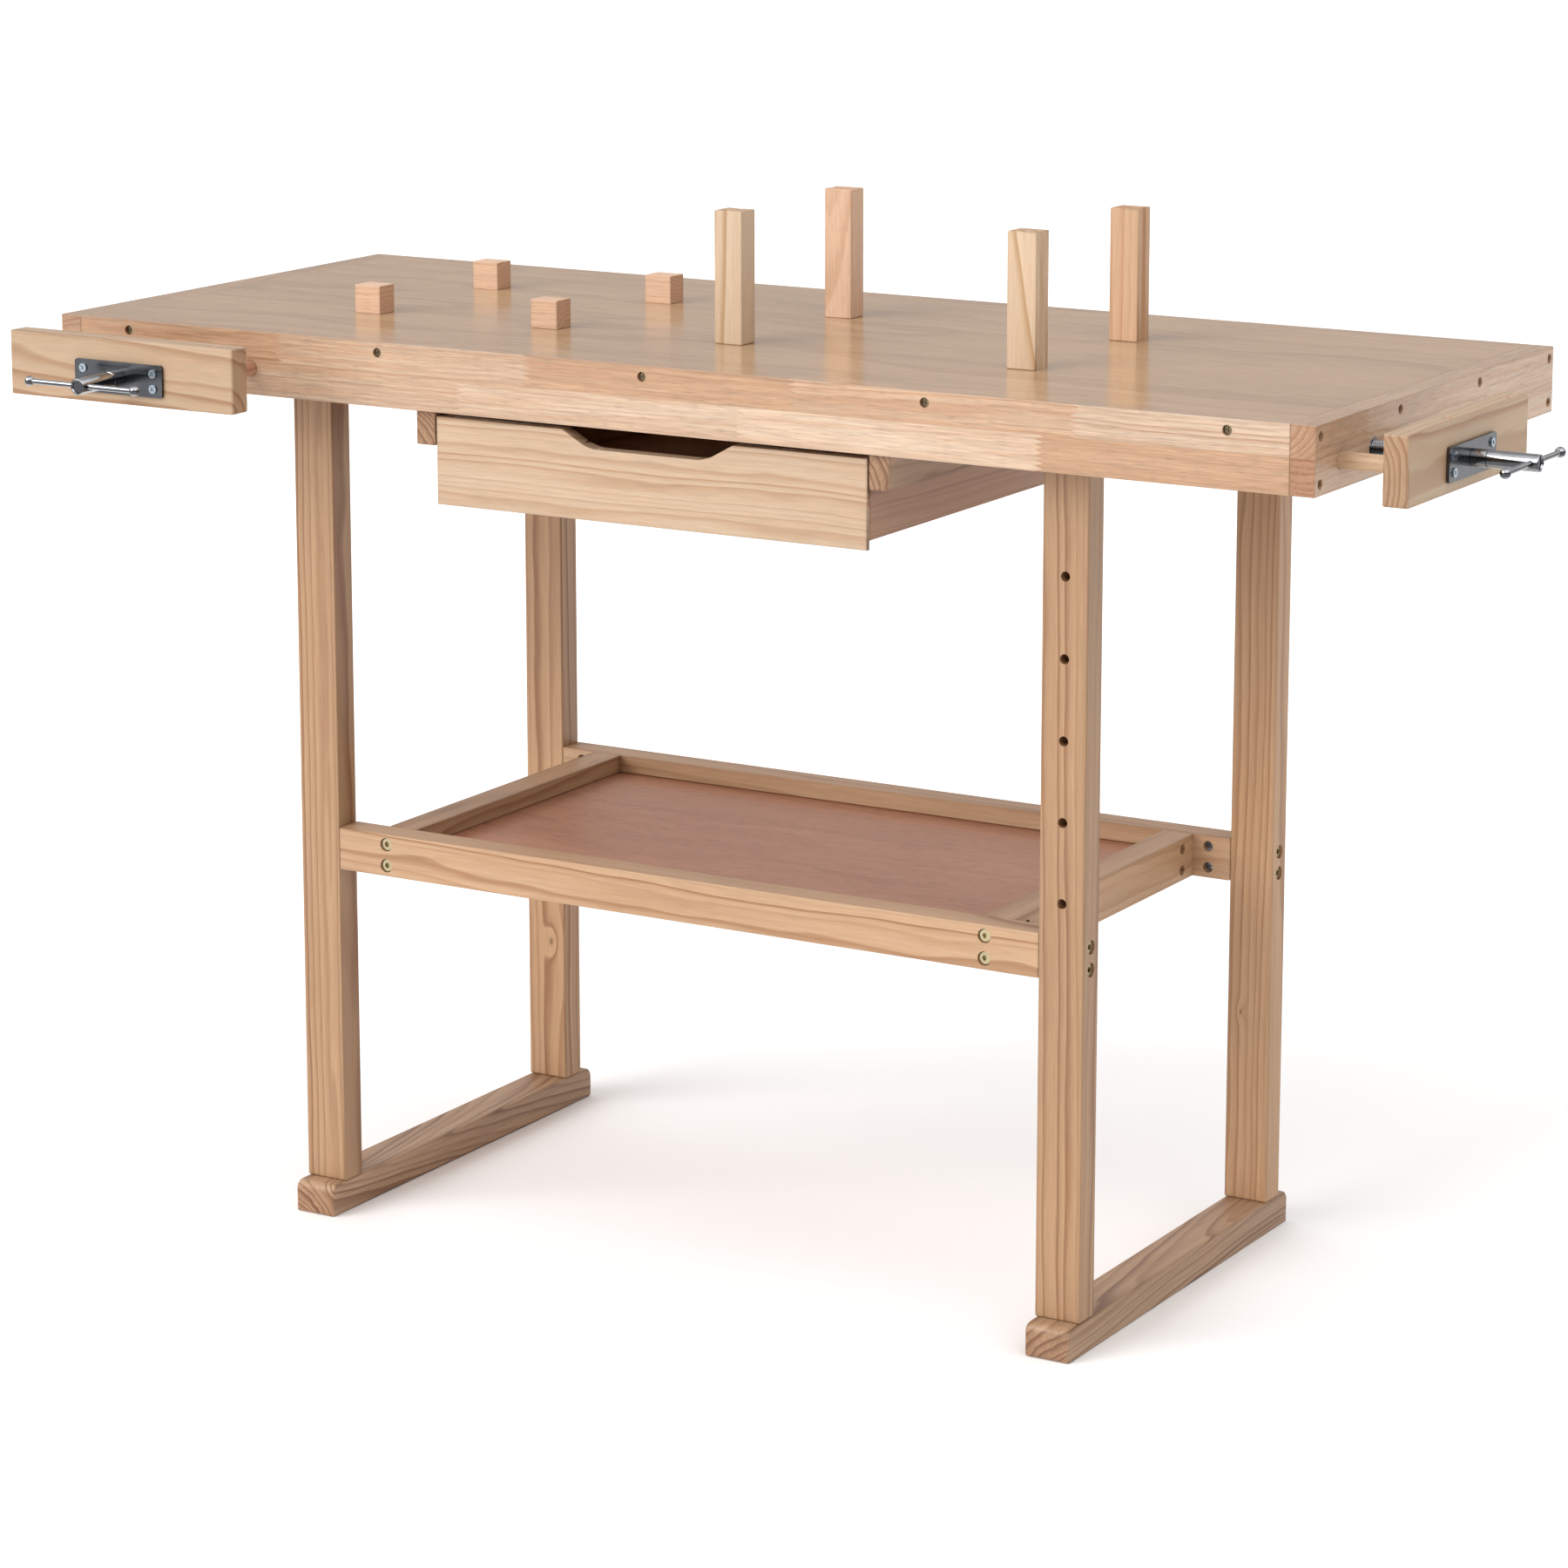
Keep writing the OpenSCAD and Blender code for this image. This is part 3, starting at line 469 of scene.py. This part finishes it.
def plain_wood(name, low, high, cut, look):
    """A solid board of one piece of wood."""
    sh = Shader(name)
    axes = board_axes(sh, low, high, cut.grain)
    late, heart = tree_rings(sh, *axes, cut, look, None)
    base = sh.mix(late, look.early, look.late)
    wood_finish(sh, axes, cut, look, base, late, heart, edge_closeness(sh, low, high, PLAIN_WEAR))
    return sh.material


FINGER_PITCH = 4.6 * MM
FINGER_LENGTH = 9 * MM
SEAM_LEVEL = 1.5 * MM
GLUE_HALF = 0.2 * MM
GLUE_EDGE = 0.8 * MM
STEP_EDGE = 0.9 * MM
PALE_BLOCK = colour(1.10, 1.09, 1.07)
RED_BLOCK = colour(0.88, 0.71, 0.57)
RED_END = colour(0.80, 0.62, 0.50)
GLUE_TONE = colour(0.30, 0.16, 0.08)
TOP_POLISH = 0.19


def jointed_wood(name, low, high, cut, look, joints):
    """Two glued strips, each of finger-jointed blocks that differ in tint and grain.

    joints holds a first joint and a block length, in metres, for the lower and the upper strip.
    The upward face takes the panel's colour and polish, and the lower strip's end grain is reddish."""
    sh = Shader(name)
    along, across, through = board_axes(sh, low, high, cut.grain)
    upper = sh.math("GREATER_THAN", through, SEAM_LEVEL)
    teeth = sh.times(sh.math("PINGPONG", through, FINGER_PITCH / 2), 2 * FINGER_LENGTH / FINGER_PITCH)
    first = sh.span(upper, joints[0][0], joints[1][0])
    length = sh.span(upper, joints[0][1], joints[1][1])
    block = sh.math("DIVIDE", sh.math("SUBTRACT", sh.add(along, teeth), first), length)
    number = sh.math("FLOOR", block)
    draws = sh.chance(sh.triple(number, upper, cut.seed))
    extra = (sh.span(draws[0], -0.06, 0.06), sh.span(draws[1], -0.03, 0.05))
    late, heart = tree_rings(sh, along, across, through, cut, look, extra)
    ended = end_grain(sh, cut.grain)
    late = sh.times(late, sh.math("MAXIMUM", sh.span(draws[2], 0.35, 0.85), ended))
    tint = sh.mix(sh.curve(draws[0], (0.25, 0.0), (0.8, 1.0)), PALE_BLOCK, RED_BLOCK)
    base = sh.mix(1.0, sh.mix(late, look.early, look.late), tint, kind="MULTIPLY")
    from_seam = sh.math("ABSOLUTE", sh.math("SUBTRACT", through, SEAM_LEVEL))
    glue = sh.span(from_seam, 1.0, 0.0, GLUE_HALF, GLUE_EDGE)
    from_step = sh.times(sh.math("PINGPONG", block, 0.5), length)
    seam_line = sh.math("MAXIMUM", glue, sh.span(from_step, 0.8, 0.0, GLUE_HALF, STEP_EDGE))
    base = sh.mix(sh.times(seam_line, 0.42), base, GLUE_TONE)
    reddish = sh.times(ended, sh.math("SUBTRACT", 0.9, upper))
    base = sh.mix(reddish, base, sh.mix(1.0, base, RED_END, kind="MULTIPLY"))
    upward = sh.span(sh.split(sh.normal)[2], 0.0, 1.0, 0.80, 0.97)
    base = sh.mix(sh.times(upward, 0.8), base, PANEL.early)
    wear = edge_closeness(sh, low, high, JOINTED_WEAR)
    shifted = (sh.add(along, sh.times(draws[1], 3.0)), across, through)
    polish = sh.times(upward, TOP_POLISH)
    wood_finish(sh, shifted, cut, look, base, late, heart, wear, polish)
    return sh.material


# ---------- metal ----------
# Noise cycles in a metre along X, Y and Z.

CLOUD_MARKS = (60.0, 60.0, 60.0)
EVEN_MARKS = (120.0, 120.0, 120.0)
SCRATCH_MARKS = (900.0, 140.0, 900.0)
METAL_RELIEF = 0.1 * MM
# Painted reflection on chrome: how much dark tone goes into the base colour, by which way a face points,
# from down to up, and that dark tone.
PAINTED_REFLECTION_BANDS = ((0.0, 0.75), (0.16, 0.2), (0.26, 0.9), (0.60, 1.0), (0.72, 0.0), (0.84, 0.1), (0.95, 0.8))
PAINTED_REFLECTION_TONE = colour(0.035, 0.036, 0.040)


def metal(name, tone, rough, brushed=EVEN_MARKS, depth=0.05, painted_reflection=0.0):
    """Plated steel with faint brush marks, cloudy wear and small scratches.

    The painted reflection share darkens the base colour in bands where the plating faces sideways and down:
    a painted reflection of the studio's grey horizon on chrome."""
    sh = Shader(name, Metallic=1.0)
    cloud = sh.noise(sh.stretch(sh.place, CLOUD_MARKS), detail=3.0)
    marks = sh.noise(sh.stretch(sh.place, brushed), detail=3.0, rough=0.65)
    lines = sh.noise(sh.stretch(sh.place, SCRATCH_MARKS), detail=1.0)
    scratch = sh.curve(lines, (0.66, 0.0), (0.74, 1.0))
    dark = colour(*(0.62 * channel for channel in tone[:3]))
    base = sh.mix(sh.span(cloud, 0.0, 0.6, 0.35, 0.75), tone, dark)
    # Painted reflection: dark and bright bands in the base colour set by the face's direction, not by any
    # lamp.
    if painted_reflection:
        facing = sh.span(sh.split(sh.normal)[2], 0.0, 1.0, -1.0, 1.0)
        band = sh.curve(facing, *PAINTED_REFLECTION_BANDS)
        base = sh.mix(sh.times(band, painted_reflection), base, PAINTED_REFLECTION_TONE)
    sh.set("Base Color", base)
    level = sh.add(sh.span(marks, -0.05, 0.10, 0.3, 0.7), sh.times(scratch, 0.12))
    sh.set("Roughness", sh.add(level, rough))
    sh.bump(marks, depth, METAL_RELIEF)
    return sh.material


# ---------- board edges ----------

SHARP_ANGLE = math.radians(50)
FLAT_ANGLE = math.radians(1)
SHORT_EDGE = 9 * MM
WELD_REACH = 0.01 * MM
BEVEL_SEGMENTS = 3


def edge_math(group, operation, limit=0.0):
    """A math node in an edge group, with limit as its second value until a link replaces it."""
    made = group.nodes.new("ShaderNodeMath")
    made.operation = operation
    made.inputs[1].default_value = limit
    return made


def mark_long_edges():
    """Node group: a bevel weight on long sharp edges, crisp shading along short ones, as at a hole's rim."""
    group = bpy.data.node_groups.new("long_edges", "GeometryNodeTree")
    group.interface.new_socket("Geometry", in_out="INPUT", socket_type="NodeSocketGeometry")
    group.interface.new_socket("Geometry", in_out="OUTPUT", socket_type="NodeSocketGeometry")
    entry = group.nodes.new("NodeGroupInput")
    leave = group.nodes.new("NodeGroupOutput")
    angle = group.nodes.new("GeometryNodeInputMeshEdgeAngle")
    ends = group.nodes.new("GeometryNodeInputMeshEdgeVertices")
    span = group.nodes.new("ShaderNodeVectorMath")
    span.operation = "DISTANCE"
    sharp = edge_math(group, "GREATER_THAN", SHARP_ANGLE)
    long = edge_math(group, "GREATER_THAN", SHORT_EDGE)
    both = edge_math(group, "MULTIPLY")
    short = edge_math(group, "SUBTRACT")
    smooth = group.nodes.new("GeometryNodeSetShadeSmooth")
    crisp = group.nodes.new("GeometryNodeSetShadeSmooth")
    crisp.domain = "EDGE"
    crisp.inputs["Shade Smooth"].default_value = False
    store = group.nodes.new("GeometryNodeStoreNamedAttribute")
    store.data_type = "FLOAT"
    store.domain = "EDGE"
    store.inputs["Name"].default_value = "bevel_weight_edge"
    group.links.new(ends.outputs["Position 1"], span.inputs[0])
    group.links.new(ends.outputs["Position 2"], span.inputs[1])
    group.links.new(angle.outputs["Unsigned Angle"], sharp.inputs[0])
    group.links.new(span.outputs["Value"], long.inputs[0])
    group.links.new(sharp.outputs[0], both.inputs[0])
    group.links.new(long.outputs[0], both.inputs[1])
    group.links.new(entry.outputs[0], smooth.inputs[0])
    group.links.new(sharp.outputs[0], short.inputs[0])
    group.links.new(both.outputs[0], short.inputs[1])
    group.links.new(smooth.outputs[0], crisp.inputs[0])
    group.links.new(short.outputs[0], crisp.inputs["Selection"])
    group.links.new(crisp.outputs[0], store.inputs[0])
    group.links.new(both.outputs[0], store.inputs["Value"])
    group.links.new(store.outputs[0], leave.inputs[0])
    return group


LONG_EDGES = mark_long_edges()


def round_edges(node, width, every=False):
    """Rounds a board's long edges, or every sharp one. The node's own mesh stays as it is."""
    board = frame["nodes"][node]
    weld = board.modifiers.new("weld", "WELD")
    weld.merge_threshold = WELD_REACH
    flatten = board.modifiers.new("flatten", "DECIMATE")
    flatten.decimate_type = "DISSOLVE"
    flatten.angle_limit = FLAT_ANGLE
    marks = board.modifiers.new("long_edges", "NODES")
    marks.node_group = LONG_EDGES
    bevel = board.modifiers.new("round", "BEVEL")
    bevel.limit_method = "ANGLE" if every else "WEIGHT"
    bevel.angle_limit = SHARP_ANGLE
    bevel.width = width
    bevel.segments = BEVEL_SEGMENTS
    bevel.use_clamp_overlap = False
    normals = board.modifiers.new("normals", "WEIGHTED_NORMAL")
    normals.weight = 100
    normals.keep_sharp = not every


# ---------- which board is what ----------


def dress(node, material):
    """Gives a CAD node its material."""
    data = frame["nodes"][node].data
    data.materials.clear()
    data.materials.append(material)


def wooden(node, cut, look, edge=1.5 * MM, every=False):
    """One board of plain wood with rounded edges."""
    low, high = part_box(node)
    dress(node, plain_wood(node + "_wood", low, high, cut, look))
    round_edges(node, edge, every)


def jointed(node, cut, look, joints, edge=0.8 * MM):
    """One board of finger-jointed blocks with rounded edges."""
    low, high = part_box(node)
    dress(node, jointed_wood(node + "_wood", low, high, cut, look, joints))
    round_edges(node, edge)


def dress_worktop():
    """The panel, then the four jointed boards around it, with their joints in metres."""
    wooden("top_panel", Cut("X", 1, pith=(0.03, 0.9), tilt=(0.01, 0.004)), PANEL, edge=0.4 * MM)
    front = ((-0.190, 0.295), (-0.117, 0.275))
    back = ((-0.150, 0.310), (-0.050, 0.260))
    small = ((-0.020, 0.300), (0.110, 0.260))
    jointed("front_apron", Cut("X", 11), RUBBERWOOD, front)
    jointed("back_apron", Cut("X", 12), RUBBERWOOD, back)
    jointed("left_end_cap", Cut("Y", 13), RUBBERWOOD, small)
    jointed("right_end_cap", Cut("Y", 14), RUBBERWOOD, small)


def dress_legs():
    """Each back leg has one knot, and is painted lighter than the front ones to offset the worktop's shadow
    on it.
    """
    left_knot = ((-0.24, 0.006, -0.014), 3 * MM)
    right_knot = ((-0.20, -0.008, -0.014), 2 * MM)
    legs = {
        "front_left_leg": Cut("Z", 21, pith=(0.085, 0.012), tilt=(0.004, 0.003)),
        "front_right_leg": Cut("Z", 22, pith=(-0.045, 0.022), tilt=(0.010, -0.012)),
        # shade=4 makes the back legs a fifth lighter: painted light against the shadow that the worktop
        # casts on them.
        "back_left_leg": Cut("Z", 23, pith=(-0.02, 0.04), tilt=(0.02, 0.0), knots=(left_knot,), shade=4),
        "back_right_leg": Cut("Z", 24, pith=(0.05, -0.02), tilt=(-0.01, 0.01), knots=(right_knot,), shade=4),
    }
    for node, cut in legs.items():
        wooden(node, cut, PINE, edge=1.8 * MM)


def dress_frame():
    left = Cut("Y", 31, pith=(0.04, 0.05), tilt=(0.05, 0.03))
    right = Cut("Y", 32, pith=(-0.03, 0.04), tilt=(0.05, -0.03))
    wooden("left_foot", left, DARK_PINE, edge=3 * MM, every=True)
    wooden("right_foot", right, DARK_PINE, edge=3 * MM, every=True)
    for i, node in enumerate(("left_top_rail", "right_top_rail")):
        wooden(node, Cut("Y", 35 + i), PINE, edge=1.0 * MM)
    wooden("front_rail", Cut("X", 41, pith=(0.022, 0.022), tilt=(0.012, 0.014)), WARM_PINE)
    wooden("back_rail", Cut("X", 42, pith=(0.030, 0.030), tilt=(0.012, 0.010)), WARM_PINE)
    for i, node in enumerate(("left_crosspiece", "right_crosspiece")):
        wooden(node, Cut("Y", 45 + i), WARM_PINE, edge=1.2 * MM)
    for i, node in enumerate(("left_runner", "right_runner")):
        wooden(node, Cut("Y", 47 + i, pith=(0.03, 0.03)), DARK_PINE, edge=1.0 * MM)
    wooden("shelf_panel", Cut("X", 51, pith=(0.0, 0.4), tilt=(0.0, 0.03)), PLYWOOD, edge=0.3 * MM)


def dress_drawer():
    wooden("drawer_front", Cut("X", 61, pith=(0.02, 0.06), tilt=(0.01, 0.02)), PALE_PINE, edge=1.0 * MM)
    wooden("drawer_left_side", Cut("Y", 62), RED_PINE, edge=0.6 * MM)
    wooden("drawer_right_side", Cut("Y", 63), RED_PINE, edge=0.6 * MM)
    wooden("drawer_back", Cut("X", 64), PINE, edge=0.6 * MM)
    wooden("drawer_bottom", Cut("X", 65, pith=(0.0, 0.4), tilt=(0.0, 0.02)), PLYWOOD, edge=0.2 * MM)


def dress_dogs():
    for i in range(1, 5):
        wooden(f"short_dog_{i}", Cut("X", 70 + i), BEECH, edge=0.8 * MM)
    wooden("tall_dog_1", Cut("Z", 81, pith=(0.03, 0.03)), CREAM_PINE, edge=1.2 * MM)
    wooden("tall_dog_2", Cut("Z", 82), BEECH, edge=1.2 * MM)
    wooden("tall_dog_3", Cut("Z", 83, pith=(0.02, 0.03), tilt=(0.16, 0.02)), CREAM_PINE, edge=1.2 * MM)
    wooden("tall_dog_4", Cut("Z", 84), HONEY_PINE, edge=1.2 * MM)


def dress_vise(side, jaw_cut, jaw_look, rod_look):
    """The jaw, the guide rods that run across its grain and the end-grain plugs in its top."""
    wooden(side + "_jaw", jaw_cut, jaw_look, edge=2.2 * MM, every=True)
    across = "Y" if jaw_cut.grain == "X" else "X"
    rods = side + "_guide_rods"
    dress(rods, plain_wood(rods + "_wood", *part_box(rods), Cut(across, jaw_cut.seed + 1), rod_look))
    plugs = side + "_jaw_plugs"
    dress(plugs, plain_wood(plugs + "_wood", *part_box(plugs), Cut("Z", jaw_cut.seed + 2), BEECH))


def dress_metal():
    # The chrome's base colour carries a painted reflection: dark bands where it faces sideways and down.
    chrome = metal("chrome", colour(0.55, 0.56, 0.58), 0.08, painted_reflection=0.95)
    plate = metal("plate_chrome", colour(0.10, 0.103, 0.11), 0.15, brushed=(20.0, 20.0, 600.0), depth=0.1)
    brass_zinc = metal("yellow_zinc", colour(0.50, 0.42, 0.26), 0.28)
    bronze = metal("dark_bronze", colour(0.20, 0.155, 0.095), 0.30)
    blue_zinc = metal("blue_zinc", colour(0.36, 0.42, 0.48), 0.22)
    for node in ("front_handle", "end_handle"):
        dress(node, chrome)
    for node in ("front_jaw_plate", "end_jaw_plate"):
        dress(node, plate)
    for node in ("front_plate_screws", "end_plate_screws", "front_retaining_ring", "end_retaining_ring"):
        dress(node, blue_zinc)
    for node in ("vise_nuts", "vise_nut_screws", "barrel_nuts"):
        dress(node, blue_zinc)
    for node in (
        "cap_screws", "top_rail_screws", "foot_bolts", "rail_bolts", "crosspiece_bolts", "runner_screws",
    ):
        dress(node, brass_zinc)
    dress("apron_screws", bronze)
    return chrome


# ---------- spindles ----------

SHANK_RADIUS = 7.0 * MM
THREAD_START = 92 * MM
THREAD_LEAD = 4 * MM
THREAD_STARTS = 2
THREAD_DEPTH = 1.1 * MM
THREAD_FADE = 2 * MM
GROOVE_SHARE = 0.38
GROOVE_FLAT = 1.5
TIP_LENGTH = 2 * MM
TIP_CHAMFER = 1.6 * MM
LEAD_STEPS = 16
ROUND_STEPS = 40
HEAD_HOLE_PLACE = 7 * MM
HEAD_HOLE_RADIUS = 2.8 * MM
HEAD_HOLE_LENGTH = 20 * MM
CREASE_ANGLE = math.radians(35)

# Millimetres from the head's end, and radius: a dished end, the head, a groove and the sleeve.
HEAD_PROFILE = (
    (1.8, 0.0), (1.8, 5.2), (0.5, 5.7), (0.0, 6.2), (0.2, 7.0), (0.9, 7.5), (45.0, 7.5), (45.3, 6.9),
    (45.9, 6.9), (46.2, 7.6), (59.7, 7.6), (59.8, 7.0),
)


def spindle_profile(length):
    """(distance from the head's end, radius) of the head and sleeve, then of the shank and its tip."""
    points = [(s * MM, r * MM) for s, r in HEAD_PROFILE]
    end = length - TIP_LENGTH
    steps = int((end - THREAD_START) / (THREAD_LEAD / LEAD_STEPS))
    points += [(THREAD_START + (end - THREAD_START) * i / steps, SHANK_RADIUS) for i in range(steps + 1)]
    points += [(length, SHANK_RADIUS - TIP_CHAMFER), (length, 0.0)]
    return points


def thread_cut(along, turn, end):
    """How far the thread's groove lies below the shank at that place."""
    if along < THREAD_START or along > end:
        return 0.0
    phase = (along / THREAD_LEAD - turn) * THREAD_STARTS % 1.0
    groove = max(0.0, 1.0 - abs(phase - 0.5) / GROOVE_SHARE)
    fade = min(1.0, (along - THREAD_START) / THREAD_FADE, (end - along) / THREAD_FADE)
    return THREAD_DEPTH * min(1.0, GROOVE_FLAT * groove) * fade


def spindle_rings(shape, start, axis, across, length):
    """Rows of vertices down the spindle: a single one at each end, a circle of them elsewhere."""
    up = axis.cross(across)
    end = length - TIP_LENGTH
    rings = []
    for along, radius in spindle_profile(length):
        middle = start + axis * along
        if radius == 0.0:
            rings.append([shape.verts.new(middle)])
            continue
        ring = []
        for k in range(ROUND_STEPS):
            turn = k / ROUND_STEPS
            reach = radius - thread_cut(along, turn, end)
            angle = 2 * math.pi * turn
            outward = math.cos(angle) * across + math.sin(angle) * up
            ring.append(shape.verts.new(middle + reach * outward))
        rings.append(ring)
    return rings


def join_rings(shape, rings):
    """Faces from each row of vertices to the next, as triangles where a row is a single vertex."""
    for first, second in zip(rings, rings[1:]):
        for k in range(ROUND_STEPS):
            corners = [first[k % len(first)], first[(k + 1) % len(first)]]
            corners += [second[(k + 1) % len(second)], second[k % len(second)]]
            shape.faces.new(list(dict.fromkeys(corners)))
    bmesh.ops.recalc_face_normals(shape, faces=shape.faces)


def make_spindle(side, start, axis, chrome, handle_axis):
    """A turned head and sleeve, then a two-start helical thread, in place of the CAD node."""
    node = side + "_spindle"
    low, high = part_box(node)
    shape = bmesh.new()
    join_rings(shape, spindle_rings(shape, start, axis, handle_axis, max(high - low)))
    data = bpy.data.meshes.new(side + "_spindle_turned")
    shape.to_mesh(data)
    shape.free()
    spindle = bpy.data.objects.new(side + "_spindle_turned", data)
    bpy.context.collection.objects.link(spindle)
    bore_hole(spindle, start + axis * HEAD_HOLE_PLACE, handle_axis, HEAD_HOLE_RADIUS, HEAD_HOLE_LENGTH)
    spindle.data.materials.clear()
    spindle.data.materials.append(chrome)
    spindle.data.shade_smooth()
    spindle.data.set_sharp_from_angle(angle=CREASE_ANGLE)
    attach(spindle, side + "_vise_spindle")
    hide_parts(node)


def bore_hole(piece, middle, axis, radius, length):
    """Drills a round hole through a mesh piece."""
    shape = bmesh.new()
    bmesh.ops.create_cone(shape, cap_ends=True, segments=32, radius1=radius, radius2=radius, depth=length)
    turn = Vector((0, 0, 1)).rotation_difference(axis).to_matrix().to_4x4()
    shape.transform(Matrix.Translation(middle) @ turn)
    data = bpy.data.meshes.new("drill")
    shape.to_mesh(data)
    shape.free()
    drill = bpy.data.objects.new("drill", data)
    bpy.context.collection.objects.link(drill)
    cut = piece.modifiers.new("hole", "BOOLEAN")
    cut.operation = "DIFFERENCE"
    cut.solver = "EXACT"
    cut.object = drill
    bpy.context.view_layer.update()
    seen = piece.evaluated_get(bpy.context.evaluated_depsgraph_get())
    bored = bpy.data.meshes.new_from_object(seen)
    piece.modifiers.clear()
    piece.data = bored
    bpy.data.objects.remove(drill)


def make_spindles(chrome):
    """The front spindle starts at its low end in Y, the end vise's at its high end in X."""
    low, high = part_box("front_spindle")
    front = Vector(((low.x + high.x) / 2, low.y, (low.z + high.z) / 2))
    make_spindle("front", front, Vector((0, 1, 0)), chrome, Vector((1, 0, 0)))
    low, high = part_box("end_spindle")
    end = Vector((high.x, (low.y + high.y) / 2, (low.z + high.z) / 2))
    make_spindle("end", end, Vector((-1, 0, 0)), chrome, Vector((0, 1, 0)))


# ---------- floor ----------

FLOOR_REACH = 60.0
PAPER_TONE = colour(0.91, 0.91, 0.91)
PAPER_LIGHT = colour(0.93, 0.93, 0.93)
PAPER_MARKS = (0.7, 0.7, 0.7)


def floor_material():
    sh = Shader("floor_paper")
    cloud = sh.noise(sh.stretch(sh.place, PAPER_MARKS), detail=3.0)
    sh.set("Base Color", sh.mix(cloud, PAPER_TONE, PAPER_LIGHT))
    sh.set("Roughness", sh.span(cloud, 0.75, 0.9))
    return sh.material


def make_floor():
    data = bpy.data.meshes.new("floor")
    r = FLOOR_REACH
    data.from_pydata([(-r, -r, 0), (r, -r, 0), (r, r, 0), (-r, r, 0)], [], [(0, 1, 2, 3)])
    data.materials.append(floor_material())
    floor = bpy.data.objects.new("floor", data)
    bpy.context.collection.objects.link(floor)


# ---------- build ----------

make_camera()
make_world()
make_sun("key", azimuth=-30, elevation=24, energy=2.4, angle=45)
make_sun("fill", azimuth=62, elevation=45, energy=0.5, angle=60)
make_floor()
dress_worktop()
dress_legs()
dress_frame()
dress_drawer()
dress_dogs()
dress_vise("front", Cut("X", 90, pith=(0.05, 0.05), tilt=(0.01, 0.02)), JAW_PINE, RED_DOWEL)
dress_vise("end", Cut("Y", 95, pith=(0.07, 0.012), tilt=(0.004, 0.01)), END_JAW_PINE, DOWEL)
chrome = dress_metal()
make_spindles(chrome)
bpy.context.scene.view_settings.view_transform = "Standard"
